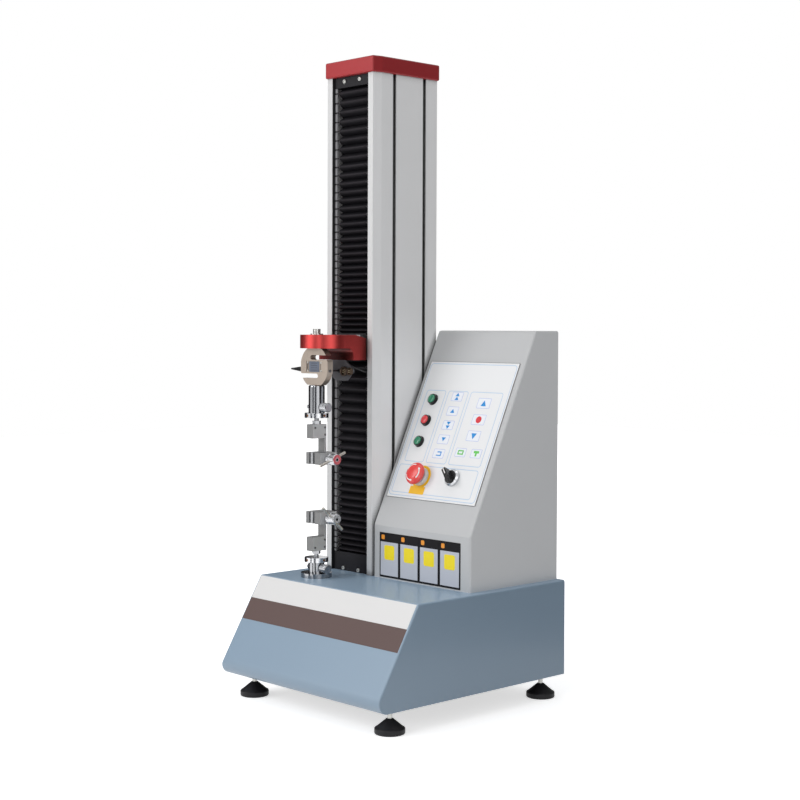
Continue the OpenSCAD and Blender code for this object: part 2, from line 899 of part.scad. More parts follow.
module carriage() {
    y1 = screw_y - nut_d / 2 - 4;
    color("SlateGray")
        difference() {
            union() {
                translate([col_x - neck_w / 2, arm_y, neck_z])
                    cube([neck_w, y1 - arm_y, leg_h]);
                translate([col_x - neck_w / 2, y1, neck_z - 5])
                    cube([neck_w, plate_y - y1, leg_h + 10]);
                translate([col_x - carriage_w / 2, plate_y, carriage_z])
                    cube([carriage_w, carriage_t, carriage_h]);
            }
            at_screw(neck_z - 6)
                cylinder(d = nut_d + 2 * running, h = leg_h + 12);
        }
}

module guide_blocks() {
    y0 = inner_back - block_rise;
    color("Silver")
        for (s = [-1, 1])
            for (z = [carriage_z + 3, carriage_z + carriage_h - 3 - block_l])
                difference() {
                    translate([col_x + s * rail_x - rail_w / 2 - block_w_side, y0, z])
                        cube([rail_w + 2 * block_w_side, block_rise - 4, block_l]);
                    translate([col_x + s * rail_x - rail_w / 2 - sliding, inner_back - rail_h - sliding, z - 1])
                        cube([rail_w + 2 * sliding, rail_h, block_l + 2]);
                }
}

module ball_nut() {
    color("LightGray")
        difference() {
            union() {
                at_screw(neck_z - 5)
                    cylinder(d = nut_d, h = leg_h + 10);
                at_screw(neck_z - 17)
                    cylinder(d = nut_flange_d, h = 12);
            }
            at_screw(neck_z - 18)
                cylinder(d = screw_d + 2 * running, h = leg_h + 30);
        }
}

// Load cell

module load_cell() {
    r = cell_slot / 2;
    color("Tan")
        translate([col_x, load_y, cell_z])
            difference() {
                intersection() {
                    cube([cell_w, cell_t, cell_h], center = true);
                    rotate([90, 0, 0])
                        cylinder(r = cell_r, h = cell_t + 2, center = true, $fn = 96);
                }
                // the two slots that leave an S
                for (s = [-1, 1])
                    mirror([s < 0 ? 1 : 0, 0, 0]) {
                        translate([-cell_slot_x + r, 0, s * cell_slot_z])
                            rotate([90, 0, 0])
                                cylinder(r = r, h = cell_t + 2, center = true);
                        translate([-cell_slot_x + r, -cell_t / 2 - 1, s * cell_slot_z - r])
                            cube([cell_w, cell_t + 2, cell_slot]);
                    }
                // the gauge pocket
                translate([-pocket_w / 2, -cell_t / 2 - 1, -pocket_h / 2])
                    cube([pocket_w, 2, pocket_h]);
                for (s = [-1, 1])
                    translate([0, 0, s * (cell_h / 2 - 4)])
                        cylinder(d = cell_bolt_d + 2 * running, h = 13, center = true);
            }
}

module load_cell_bolts() {
    washer_t = 2;
    color("DarkGray") {
        difference() {
            union() {
                at_load(arm_top + washer_t)
                    cylinder(d = cell_bolt_d + 5, h = cell_bolt_d);
                at_load(arm_top)
                    cylinder(d = cell_bolt_d * 2.75, h = washer_t);
                at_load(arm_z - 10)
                    cylinder(d = cell_bolt_d, h = arm_t + 11);
            }
            at_load(arm_top + washer_t + cell_bolt_d / 2)
                cylinder(d = cell_bolt_d * 0.9, h = cell_bolt_d, $fn = 6);
        }
        at_load(arm_z - cell_h - 10)
            cylinder(d = cell_bolt_d, h = 20);
    }
}

module cell_cable() {
    exit = [col_x - cell_w / 2, load_y, cell_z - 5];
    tip = exit - [relief_l, 0, 0];
    turn = [for (a = [0:20:180]) tip + cable_turn * [-sin(a), 1 - cos(a), 0]];
    corner = [col_x, leg_y, neck_z];
    lead = [[-30, -21, -17], [-8, -8, -19], [6.3, -4.2, -19.5], [8, -1.5, -19.5], [8, 4.5, -19.5]];
    neck_end = neck_w / 2;
    strand = [[20.2, 6.2, 0], [20.2, 6.2, -5], [22.2, 11.1, -8.4], [37.8, 31.6, -20.2], [40.4, 38, -21],
        [40.4, 49, -20.8], [38.4, 56.5, -13], [neck_end + 6, 59, -1], [neck_end + 3.5, 59, 3], [neck_end, 59, 3]];
    color("Black") {
        // strain relief at the side of the load cell
        translate(exit)
            rotate([0, -90, 0])
                rotate_extrude()
                    polygon([[0, 0], [5.4, 0], [5.4, 4], [4.9, 6], [cable_d / 2 + 0.5, relief_l], [0, relief_l]]);
        // back behind the load cell to the bracket
        cable_run(concat([tip + [3, 0, 0]], turn, [for (p = lead) corner + p]), cable_d / 2, [0, 0, 1]);
        // from under the leg into the column, beside the bellows
        cable_run([for (p = strand) corner + p], cable_d / 2, [1, -1, 0.3]);
    }
}

// Each connector's distance right of the column's middle, height below the leg and diameter
plugs = [[23.5, -19.5, plug_d], [39, -19.5, small_plug_d]];
barrel = 0.6;

module connector_bracket() {
    t = 3;
    color("Gray")
        difference() {
            translate([col_x, leg_y + t, neck_z])
                rotate([90, 0, 0])
                    linear_extrude(t)
                        polygon([[-10, 0], [-10, -29], [-3, -36], [29, -36], [44, -21], [44, -16], [24, 0]]);
            for (p = plugs)
                translate([col_x + p.x, leg_y + t / 2, neck_z + p.y])
                    rotate([90, 0, 0])
                        cylinder(d = p.z * barrel + 2 * running, h = t + 2, center = true);
            translate([col_x + 8, leg_y + t / 2, neck_z - 19.5])
                rotate([90, 0, 0])
                    cylinder(d = cable_d + 2 * running, h = t + 2, center = true);
        }
}

module cable_connector() {
    color("DimGray")
        for (p = plugs)
            translate([col_x + p.x, leg_y, neck_z + p.y])
                rotate([90, 0, 0])
                    difference() {
                        union() {
                            cylinder(d = p.z, h = 4.5);
                            translate([0, 0, -6])
                                cylinder(d = p.z * barrel, h = 7);
                        }
                        translate([0, 0, 1])
                            cylinder(d = p.z - 3.5, h = 6);
                    }
}

// Load train: each piece points out of an adaptor's end, which is at z = 0

module adaptor_cuts(l) {
    translate([0, 0, -tenon_l - 1])
        cylinder(d = tenon_d + 2 * running, h = tenon_l + 2);
    translate([0, 0, -pin_up])
        x_rod(pin_d / 2 + running, sleeve_d + 2);
}

module upper_adaptor() {
    r = sleeve_d / 2;
    l = upper_sleeve_l;
    color("Silver")
        upper_side()
            difference() {
                rotate_extrude()
                    polygon([[0, 0], [r, 0], [r, -l + 3], [r - 0.4, -l + 1.5], [r - 1.5, -l + 0.4], [r - 3, -l],
                        [0, -l]]);
                adaptor_cuts(l);
                translate([0, 0, -l - 1])
                    cylinder(d = cell_bolt_d + 2 * running, h = 12);
            }
}

module lower_adaptor() {
    color("Silver")
        lower_side()
            difference() {
                union() {
                    translate([0, 0, -lower_sleeve_l])
                        cylinder(d = sleeve_d, h = lower_sleeve_l);
                    translate([0, 0, -lower_sleeve_l])
                        cylinder(d = flange_d, h = flange_t);
                }
                adaptor_cuts(lower_sleeve_l);
            }
}

module cross_pin() {
    r = sleeve_d / 2;
    color("LightGray")
        translate([0, 0, -pin_up]) {
            translate([-r - pin_tail + 2, 0, 0])
                rotate([0, 90, 0])
                    cylinder(d = pin_d, h = 2 * r + pin_tail - 1);
            translate([-r - pin_tail, 0, 0])
                rotate([0, 90, 0])
                    rotate_extrude()
                        polygon([[0, 0], [pin_d / 2 - 2, 0], [pin_d / 2 - 0.6, 0.6], [pin_d / 2, 2], [0, 2]]);
            translate([r + 0.3, 0, 0])
                rotate([0, 90, 0])
                    rotate_extrude()
                        polygon([[0, 0], [pin_knob_d / 2 - 1.5, 0], [pin_knob_d / 2, 1.5],
                            [pin_knob_d / 2, pin_knob_l - 1], [pin_knob_d / 2 - 1, pin_knob_l], [0, pin_knob_l]]);
        }
}

module upper_pin() {
    upper_side()
        cross_pin();
}

module lower_pin() {
    lower_side()
        cross_pin();
}

module lock_ring() {
    color("DimGray")
        difference() {
            translate([0, 0, running])
                cylinder(d = ring_d, h = ring_h - running);
            translate([0, 0, -1])
                cylinder(d = tenon_d + 2 * running, h = ring_h + 2);
            for (a = [0:90:270])
                rotate([0, 0, a])
                    translate([ring_d / 2 - 8, 0, ring_h / 2])
                        rotate([0, 90, 0])
                            cylinder(d = ring_hole_d, h = 10);
        }
}

module upper_lock_ring() {
    upper_side()
        lock_ring();
}

module lower_lock_ring() {
    lower_side()
        lock_ring();
}

module grip_stud() {
    color("LightGray")
        difference() {
            union() {
                translate([0, 0, -tenon_l])
                    cylinder(d = tenon_d, h = tenon_l + ring_h);
                translate([0, 0, ring_h - 1])
                    cylinder(d = stud_d, h = block_z + 12 - ring_h + 1);
                translate([0, 0, block_z - nut_h])
                    hex_nut(nut_af, nut_h);
            }
            translate([0, 0, -pin_up])
                x_rod(pin_d / 2 + running, tenon_d + 2);
        }
}

module upper_grip_stud() {
    upper_side()
        grip_stud();
}

module lower_grip_stud() {
    lower_side()
        grip_stud();
}

// Grips

module grip_body() {
    x0 = -jaw_x - fixed_jaw;
    x1 = leg_x + screw_leg;
    color("Gainsboro")
        difference() {
            union() {
                translate([-block_w / 2, -grip_front, block_z])
                    cube([block_w, block_d + grip_arm_t, block_h]);
                translate([-block_w / 2, -grip_front + block_d, block_z])
                    cube([block_w, grip_arm_t, frame_z - block_z + 1]);
                translate([x0, -grip_front, frame_z])
                    cube([x1 - x0, frame_d, frame_h]);
            }
            translate([-jaw_x, -grip_front - 1, frame_z - 1])
                cube([leg_x + jaw_x, jaw_d + 1 + sliding, frame_h + 2]);
            translate([(leg_x + x1) / 2, 0, axis_z])
                x_rod(clamp_d / 2 + running, screw_leg + 2);
            translate([0, 0, block_z - 1])
                cylinder(d = stud_d + 2 * running, h = 14);
        }
}

module moving_jaw() {
    color("Gray")
        translate([jaw_x, -grip_front, frame_z])
            cube([jaw_t, jaw_d, frame_h]);
}

module clamp_screw(turn) {
    x0 = jaw_x + jaw_t;
    color("LightGray")
        translate([0, 0, axis_z])
            difference() {
                union() {
                    translate([x0, 0, 0])
                        rotate([0, 90, 0])
                            cylinder(d = clamp_d, h = knob_x - x0 + 1);
                    translate([knob_x, 0, 0])
                        rotate([0, 90, 0])
                            rotate_extrude()
                                polygon([[0, 0], [knob_d / 2 - 1, 0], [knob_d / 2, 1], [knob_d / 2, knob_l - 1],
                                    [knob_d / 2 - 1, knob_l], [0, knob_l]]);
                }
                translate([knob_x + knob_l - bar_back, 0, 0])
                    rotate([turn - 90, 0, 0])
                        cylinder(d = bar_d + 2 * running, h = knob_d + 2, center = true);
                translate([knob_x + knob_l - 3, 0, 0])
                    rotate([0, 90, 0])
                        cylinder(d = 5, h = 5);
            }
}

module tommy_bar(turn) {
    r = bar_d / 2;
    color("Silver")
        translate([knob_x + knob_l - bar_back, 0, axis_z])
            rotate([turn - 90, 0, 0])
                rotate_extrude()
                    polygon([[0, -bar_l / 2], [r - 0.8, -bar_l / 2], [r, -bar_l / 2 + 0.8],
                        [r, bar_l / 2 - 0.8], [r - 0.8, bar_l / 2], [0, bar_l / 2]]);
}

module upper_grip_body() {
    upper_side()
        grip_body();
}

module upper_moving_jaw() {
    upper_side()
        moving_jaw();
}

module upper_clamp_screw() {
    upper_side()
        clamp_screw(-upper_bar_turn);
}

module upper_tommy_bar() {
    upper_side()
        tommy_bar(-upper_bar_turn);
}

module lower_grip_body() {
    lower_side()
        grip_body();
}

module lower_moving_jaw() {
    lower_side()
        moving_jaw();
}

module lower_clamp_screw() {
    lower_side()
        clamp_screw(lower_bar_turn);
}

module lower_tommy_bar() {
    lower_side()
        tommy_bar(lower_bar_turn);
}

// Control box

module box_form() {
    t = bend_r * tan((90 - slope_lean) / 2);
    intersection() {
        union() {
            translate([box_mid, 0, 0])
                x_prism(box_w, box_outline(0));
            translate([box_mid, slope_top(0) + t, box_top - bend_r])
                x_rod(bend_r, box_w);
        }
        // rounds the top edges at the sides
        translate([box_mid, box_y0 - 1, box_top])
            rotate([-90, 0, 0])
                soft_front(box_w, box_h + 10, box_d + 2, edge_r);
        // rounds the side edges of the slope
        translate([box_mid, box_y0, base_top + apron_h])
            rotate([-slope_lean, 0, 0])
                translate([0, 0, -box_h])
                    soft_front(box_w, box_h * 2, box_h * 2, slope_r);
        // rounds the side edges of the upright front
        translate([box_mid, box_y0, base_top - 1])
            soft_front(box_w, box_d + 1, box_h + 2, edge_r);
    }
}

module control_holes(extra) {
    on_panel(stop_x, stop_up)
        cylinder(d = 27 + extra, h = 20, center = true);
    on_panel(selector_x, selector_up)
        cylinder(d = 22 + extra, h = 20, center = true);
    for (k = [0:2])
        on_panel(lamp_x, lamp_up + k * lamp_pitch)
            cylinder(d = lamp_d - 2.4 + extra, h = 20, center = true);
}

module control_box() {
    color("Silver")
        difference() {
            box_form();
            difference() {
                translate([box_mid, 0, 0])
                    x_prism(box_w - 2 * skin_t, box_outline(skin_t));
                translate([box_mid - box_w, box_y0 - 1, base_top - skin_t - 1])
                    cube([box_w * 2, 1, 1]);
            }
            translate([box_mid - box_w / 2 + skin_t, box_y0 + skin_t, base_top - 1])
                cube([box_w - 2 * skin_t, box_d, apron_h / 2]);
            control_holes(2 * sliding);
        }
}

module control_box_rear() {
    w = box_w - 2 * skin_t - 2 * sliding;
    color("Silver")
        difference() {
            translate([box_mid - w / 2, box_y1 - skin_t - 0.5, base_top])
                cube([w, skin_t, box_h - skin_t - sliding]);
            for (k = [0:11])
                translate([box_mid - w * 0.35, box_y1 - skin_t - 2, box_top - 60 - k * vent_pitch])
                    cube([w * 0.7, skin_t + 3, 4]);
        }
}

module control_panel() {
    color("WhiteSmoke")
        difference() {
            on_panel(0, 0)
                cube([panel_w, panel_l, panel_t]);
            control_holes(2 * sliding);
        }
}

module pilot_lamps() {
    cap = lamp_d / 2 - 1.5;
    dome = cap * 2.1;
    color("LightGreen")
        for (k = [0:2])
            on_panel(lamp_x, lamp_up + k * lamp_pitch) {
                translate([0, 0, -18])
                    cylinder(d = lamp_d - 2.4, h = 20);
                translate([0, 0, panel_t])
                    cylinder(d = lamp_d, h = lamp_h);
                intersection() {
                    translate([0, 0, panel_t])
                        cylinder(r = cap, h = lamp_h + 3);
                    translate([0, 0, panel_t + lamp_h + 2.5 - dome])
                        sphere(dome);
                }
            }
}

module stop_button_body() {
    color("WhiteSmoke")
        on_panel(stop_x, stop_up)
            difference() {
                union() {
                    translate([0, 0, -22])
                        cylinder(d = 27, h = 24);
                    translate([0, 0, panel_t])
                        cylinder(d = 32, h = 9);
                }
                translate([0, 0, -16])
                    cylinder(d = 22 + 2 * running, h = 40);
            }
}

module stop_button_stem() {
    color("Silver")
        on_panel(stop_x, stop_up) {
            translate([0, 0, -8])
                cylinder(d = 22, h = panel_t + 9.3 + stop_travel + 8);
            translate([0, 0, panel_t + 9])
                cylinder(d = 10, h = stop_travel + 6.3);
        }
}

module stop_button_head() {
    r = stop_d / 2;
    color("Red")
        on_panel(stop_x, stop_up)
            translate([0, 0, panel_t + 9.3 + stop_travel])
                difference() {
                    rotate_extrude()
                        polygon([[0, 0], [r - 2.5, 0], [r - 0.7, 0.7], [r, 2.5], [r - 0.3, 4.6], [r - 1.6, 6.6],
                            [r - 4.5, 8.5], [r * 0.6, 10.2], [r * 0.4, 10.9], [r * 0.2, 11.3], [0, 11.4]]);
                    translate([0, 0, -1])
                        cylinder(d = 10 + 2 * running, h = 7.2);
                }
}

module selector_body() {
    color("Silver")
        on_panel(selector_x, selector_up)
            difference() {
                union() {
                    translate([0, 0, -22])
                        cylinder(d = 22, h = 24);
                    translate([0, 0, panel_t])
                        rotate_extrude()
                            polygon([[0, 0], [selector_d / 2, 0], [selector_d / 2, 4], [selector_d / 2 - 2.5, 7],
                                [0, 7]]);
                }
                translate([0, 0, -16])
                    cylinder(d = 10 + 2 * running, h = 40);
                translate([0, 0, panel_t + 4])
                    cylinder(d = 23 + 2 * running, h = 10);
            }
}

module selector_knob() {
    color("Black")
        on_panel(selector_x, selector_up)
            rotate([0, 0, selector_rest]) {
                translate([0, 0, -14])
                    cylinder(d = 10, h = panel_t + 20);
                translate([0, 0, panel_t + 4 + running])
                    cylinder(d = 23, h = 4);
                translate([0, 0, panel_t + 4 + running])
                    intersection() {
                        translate([-4, -14, 4])
                            cube([8, 28, 12]);
                        cylinder(d = 28, h = 20);
                    }
            }
}

base_cover();
machine_plate();
bottom_tray();
foot_lock_nuts();
foot_stud(feet[0]);  // foot_stud_front_left
foot_stud(feet[1]);  // foot_stud_front_right
foot_stud(feet[2]);  // foot_stud_rear_left
foot_stud(feet[3]);  // foot_stud_rear_right
foot_pad(feet[0]);  // foot_pad_front_left
foot_pad(feet[1]);  // foot_pad_front_right
foot_pad(feet[2]);  // foot_pad_rear_left
foot_pad(feet[3]);  // foot_pad_rear_right
column_profile();
column_cap();
linear_rails();
screw_bearings();
bellows_brackets();
bellows_end_plates();
guide_strips();
ball_screw();
screw_pulley();
servo_motor();
motor_pulley();
timing_belt();
bellows_upper();
bellows_lower();
crosshead_arm();
carriage();
guide_blocks();
ball_nut();
load_cell();
load_cell_bolts();
cell_cable();
connector_bracket();
cable_connector();
upper_adaptor();
upper_pin();
upper_lock_ring();
upper_grip_stud();
upper_grip_body();
upper_moving_jaw();
upper_clamp_screw();
upper_tommy_bar();
lower_adaptor();
lower_pin();
lower_lock_ring();
lower_grip_stud();
lower_grip_body();
lower_moving_jaw();
lower_clamp_screw();
lower_tommy_bar();
control_box();
control_box_rear();
control_panel();
pilot_lamps();
stop_button_body();
stop_button_stem();
stop_button_head();
selector_body();
selector_knob();
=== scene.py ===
# %% [markdown]
# # A single-column testing machine
# The CAD model gives every rigid piece at its true size. This script dresses it: it loads the model, gives
# each piece a procedural finish, and adds the thin and soft things that CAD is poor at, such as printed
# plates, bellows and jaw teeth. The scene is in metres, with +Z up, -Y to the front and +X to the right.

# %% Load the model
import math

import bmesh
import bpy
from mathutils import Matrix, Vector


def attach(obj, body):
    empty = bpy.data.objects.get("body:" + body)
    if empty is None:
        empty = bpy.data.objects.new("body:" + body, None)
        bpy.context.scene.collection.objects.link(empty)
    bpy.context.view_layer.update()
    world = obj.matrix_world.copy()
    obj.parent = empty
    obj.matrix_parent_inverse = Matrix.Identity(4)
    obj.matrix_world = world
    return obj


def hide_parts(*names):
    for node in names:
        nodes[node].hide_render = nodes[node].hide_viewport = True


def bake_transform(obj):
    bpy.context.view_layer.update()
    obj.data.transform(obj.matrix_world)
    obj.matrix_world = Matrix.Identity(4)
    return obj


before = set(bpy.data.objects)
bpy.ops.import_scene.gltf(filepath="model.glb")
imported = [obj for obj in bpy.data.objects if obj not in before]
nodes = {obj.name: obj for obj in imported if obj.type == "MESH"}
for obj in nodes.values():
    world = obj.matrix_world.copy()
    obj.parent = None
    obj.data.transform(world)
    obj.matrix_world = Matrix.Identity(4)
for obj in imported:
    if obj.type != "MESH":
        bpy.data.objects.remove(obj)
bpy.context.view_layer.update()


# %% [markdown]
# ## Helpers
# The same few steps come back all through the script: a new object, a new material, and shader nodes that
# are set or linked. Each one is written once here, so that the cells below show only what is special about
# a piece or a finish.

# %% Objects, materials and nodes
def new_object(name, data):
    made = bpy.data.objects.new(name, data)
    bpy.context.scene.collection.objects.link(made)
    return made


def new_material(name):
    made = bpy.data.materials.new(name)
    made.use_nodes = True
    return made, made.node_tree, made.node_tree.nodes["Principled BSDF"]


def put(tree, socket, value):
    """Gives a socket a value, or links another node's output to it."""
    if isinstance(value, bpy.types.NodeSocket):
        tree.links.new(value, socket)
    else:
        socket.default_value = value


def math_node(tree, operation, *values):
    node = tree.nodes.new("ShaderNodeMath")
    node.operation = operation
    for socket, value in zip(node.inputs, values):
        put(tree, socket, value)
    return node.outputs[0]


def ramp(tree, value, start, end, low=0.0, high=1.0):
    """Low where the value is at the start, high where it is at the end, and straight between them."""
    node = tree.nodes.new("ShaderNodeMapRange")
    for label, number in (("From Min", start), ("From Max", end), ("To Min", low), ("To Max", high)):
        node.inputs[label].default_value = number
    tree.links.new(value, node.inputs["Value"])
    return node.outputs["Result"]


def mix_colors(tree, factor, first, second):
    """The first colour where the factor is 0, and the second where it is 1."""
    node = tree.nodes.new("ShaderNodeMix")
    node.data_type = "RGBA"
    for label, value in (("Factor", factor), ("A", first), ("B", second)):
        put(tree, node.inputs[label], value)
    return node.outputs["Result"]


print("helpers ready")

# %% [markdown]
# ## The camera
# The camera stands where the photographer stood: to the right and in front, at about half the machine's
# height, with a long lens. It could be placed by eye, but its place, tilt and lens were solved from the
# corners of the base, column and control box, so that the render can be laid over the photograph.

# %% Camera
PHOTO_SIZE, SENSOR = 800, 36
FOCAL_PIXELS = 1533.67
CENTRE_X, CENTRE_Y = 400.39, 374.91
AZIMUTH, PITCH, ROLL = 0.813422, 0.030130, 0.003704
CAMERA_PLACE = (1.9183, -1.7996, 0.63505)


def add_camera():
    right = Vector((math.cos(AZIMUTH), math.sin(AZIMUTH), 0))
    level = Vector((-math.sin(AZIMUTH), math.cos(AZIMUTH), 0))
    up = Vector((0, 0, 1))
    ahead = level * math.cos(PITCH) - up * math.sin(PITCH)
    above = up * math.cos(PITCH) + level * math.sin(PITCH)
    x_axis = right * math.cos(ROLL) + above * math.sin(ROLL)
    y_axis = above * math.cos(ROLL) - right * math.sin(ROLL)
    data = bpy.data.cameras.new("camera")
    data.sensor_width = SENSOR
    data.lens = FOCAL_PIXELS * SENSOR / PHOTO_SIZE
    data.shift_x = (PHOTO_SIZE / 2 - CENTRE_X) / PHOTO_SIZE
    data.shift_y = (CENTRE_Y - PHOTO_SIZE / 2) / PHOTO_SIZE
    place = Matrix((x_axis, y_axis, -ahead)).transposed().to_4x4()
    place.translation = Vector(CAMERA_PLACE)
    made = new_object("camera", data)
    made.matrix_world = place
    bpy.context.scene.camera = made
    return made


camera = add_camera()
print("camera", [round(v, 3) for v in camera.location])


# %% [markdown]
# ## Light, floor and background
# A studio photograph of a machine like this is lit by large soft lamps, with the brightest one at the left
# front, so the faces on the right fall off to a mid grey. Sun or point lamps would give hard shadows. Area
# lamps of true size give the softness.

# %% Lamps
def add_lamp(name, place, target, size, power):
    data = bpy.data.lights.new(name, "AREA")
    data.shape = "RECTANGLE"
    data.size, data.size_y = size
    data.energy = power
    lamp = new_object(name, data)
    lamp.rotation_euler = (Vector(target) - Vector(place)).to_track_quat("-Z", "Y").to_euler()
    lamp.location = place


add_lamp("key_lamp", (-1.6, -3.0, 1.9), (0, 0, 0.5), (1.6, 2.2), 50)
add_lamp("strip_lamp", (0.95, -2.9, 1.7), (-0.1, 0, 0.5), (0.35, 2.0), 12)
add_lamp("fill_lamp", (3.0, -1.2, 1.4), (0, 0, 0.5), (1.4, 2.4), 12)
add_lamp("top_lamp", (-0.2, -0.2, 3.2), (0, 0, 0.5), (2.2, 2.2), 15)
print("lamps", len(bpy.data.lights))

# %% [markdown]
# Polished metal in a white room looks like paper. Photographers stand dark cards beside it, out of the
# picture, and the cards' reflections give round pieces their dark and bright bands. A second, low row stands
# closer, for pieces near the base that would mirror the floor. These cards are seen by mirror rays alone, so
# they take no light away.

# %% Dark cards
CARD_STEPS = 8
CARD_CENTRE = Vector((-0.11, -0.08, 0))
FAR_ROW, LOW_ROW = (-0.2, 2.2, 2.4), (0.01, 0.42, 0.8)


def add_card(name, azimuth, spread, row, tone):
    """A bent card on a circle round the machine. Its row gives its lower and upper edge and its distance."""
    low, high, away = row
    middle, half = math.radians(azimuth), math.radians(spread) / 2
    verts = []
    for i in range(CARD_STEPS + 1):
        angle = middle - half + 2 * half * i / CARD_STEPS
        for z in (low, high):
            verts.append(CARD_CENTRE + Vector((math.cos(angle) * away, math.sin(angle) * away, z)))
    faces = [(2 * i, 2 * i + 1, 2 * i + 3, 2 * i + 2) for i in range(CARD_STEPS)]
    mesh = bpy.data.meshes.new(name)
    mesh.from_pydata([tuple(v) for v in verts], [], faces)
    card = new_object(name, mesh)
    paint, _, body = new_material(name)
    body.inputs["Base Color"].default_value = (0, 0, 0, 1)
    body.inputs["Roughness"].default_value = 1
    body.inputs["Specular IOR Level"].default_value = 0
    body.inputs["Emission Color"].default_value = tone
    body.inputs["Emission Strength"].default_value = 1
    mesh.materials.append(paint)
    card.visible_camera = card.visible_diffuse = card.visible_shadow = card.visible_transmission = False


add_card("card_front", -56, 20, FAR_ROW, (0.05, 0.06, 0.08, 1))
add_card("card_slit", -93, 18, FAR_ROW, (0.06, 0.07, 0.09, 1))
add_card("card_right", 27, 56, FAR_ROW, (0.04, 0.04, 0.045, 1))
add_card("card_left", 178, 76, FAR_ROW, (0.03, 0.03, 0.035, 1))
add_card("card_back", 97, 78, FAR_ROW, (0.24, 0.24, 0.22, 1))
add_card("low_card_front", -56, 20, LOW_ROW, (0.05, 0.06, 0.08, 1))
add_card("low_card_slit", -93, 14, LOW_ROW, (0.06, 0.07, 0.09, 1))
add_card("low_card_right", 27, 56, LOW_ROW, (0.04, 0.045, 0.055, 1))
add_card("low_card_left", 178, 76, LOW_ROW, (0.03, 0.03, 0.035, 1))
print("cards ready")


# %% [markdown]
# Behind the machine the photograph is white. A bright white world would light the machine from all sides
# and wash out its shades. So the world gives a dim light, and looks white to camera and mirror rays alone.
# The floor glows for the same rays, more with distance, so it is grey near the base and fades to white.

# %% World and floor
def seen_rays(tree):
    """1 for rays that look or are mirrored, 0 for rays that carry light."""
    path = tree.nodes.new("ShaderNodeLightPath")
    looks = math_node(tree, "MAXIMUM", path.outputs["Is Camera Ray"], path.outputs["Is Transmission Ray"])
    return math_node(tree, "MAXIMUM", looks, path.outputs["Is Glossy Ray"])


def add_world():
    world = bpy.data.worlds.new("studio")
    world.use_nodes = True
    tree = world.node_tree
    tree.nodes.clear()
    mix = tree.nodes.new("ShaderNodeMixShader")
    tree.links.new(seen_rays(tree), mix.inputs[0])
    for i, color, strength in ((1, (0.97, 0.98, 1.0, 1), 0.38), (2, (1, 1, 1, 1), 1)):
        light = tree.nodes.new("ShaderNodeBackground")
        light.inputs["Color"].default_value = color
        light.inputs["Strength"].default_value = strength
        tree.links.new(light.outputs[0], mix.inputs[i])
    out = tree.nodes.new("ShaderNodeOutputWorld")
    tree.links.new(mix.outputs[0], out.inputs[0])
    bpy.context.scene.world = world


def add_floor():
    mesh = bpy.data.meshes.new("floor")
    mesh.from_pydata([(-6, -6, 0), (6, -6, 0), (6, 6, 0), (-6, 6, 0)], [], [(0, 1, 2, 3)])
    floor = new_object("floor", mesh)
    paint, tree, body = new_material("floor_paint")
    body.inputs["Base Color"].default_value = (0.9, 0.9, 0.9, 1)
    body.inputs["Roughness"].default_value = 0.8
    place = tree.nodes.new("ShaderNodeTexCoord")
    away = tree.nodes.new("ShaderNodeVectorMath")
    away.operation = "LENGTH"
    tree.links.new(place.outputs["Object"], away.inputs[0])
    bright = ramp(tree, away.outputs["Value"], 0.35, 1.6, 0.62, 1.1)
    glow = math_node(tree, "MULTIPLY", seen_rays(tree), bright)
    body.inputs["Emission Color"].default_value = (1, 1, 1, 1)
    tree.links.new(glow, body.inputs["Emission Strength"])
    mesh.materials.append(paint)


add_world()
add_floor()
bpy.context.scene.view_settings.view_transform = "Standard"
print("world and floor ready")


# %% [markdown]
# ## Shared effects
# Several finishes share an effect. Each effect is a node group, built once and placed in a material with
# its own values. A group puts out only colours, masks, heights and factors; the shader stays outside.

# %% Groups with named sockets
FLOAT, COLOR, VECTOR = "NodeSocketFloat", "NodeSocketColor", "NodeSocketVector"


def new_group(name, inputs, outputs):
    group = bpy.data.node_groups.new(name, "ShaderNodeTree")
    for label, kind, value in inputs:
        socket = group.interface.new_socket(label, in_out="INPUT", socket_type=kind)
        socket.default_value = value
    for label, kind in outputs:
        group.interface.new_socket(label, in_out="OUTPUT", socket_type=kind)
    start = group.nodes.new("NodeGroupInput")
    end = group.nodes.new("NodeGroupOutput")
    return group, start, end


print("group maker ready")


# %% [markdown]
# Paint, cloth and anodising are never one even colour. An image could show that, but it has seams and needs
# a map. Here a soft noise, about ten centimetres wide, makes the colour a little lighter or darker.

# %% Colour drift
def make_drift():
    group, start, end = new_group(
        "colour_drift",
        [("Color", COLOR, (0.5, 0.5, 0.5, 1)), ("Size", FLOAT, 9.0), ("Amount", FLOAT, 0.05)],
        [("Color", COLOR)],
    )
    place = group.nodes.new("ShaderNodeTexCoord")
    noise = group.nodes.new("ShaderNodeTexNoise")
    noise.inputs["Detail"].default_value = 3
    group.links.new(place.outputs["Object"], noise.inputs["Vector"])
    group.links.new(start.outputs["Size"], noise.inputs["Scale"])
    swing = math_node(group, "SUBTRACT", noise.outputs["Fac"], 0.5)
    swing = math_node(group, "MULTIPLY", swing, start.outputs["Amount"])
    bright = math_node(group, "MULTIPLY_ADD", swing, 2.0, 1.0)
    tint = group.nodes.new("ShaderNodeHueSaturation")
    group.links.new(start.outputs["Color"], tint.inputs["Color"])
    group.links.new(bright, tint.inputs["Value"])
    group.links.new(tint.outputs["Color"], end.inputs["Color"])
    return group


drift = make_drift()
print("group", drift.name)


# %% [markdown]
# Powder coat has a fine skin like orange peel, turned steel has fine rings, and drawn aluminium has lines
# along its length. Modelling them would take millions of faces. One fine noise, stretched where there are
# lines, gives a height for the bump and a mask for the roughness.

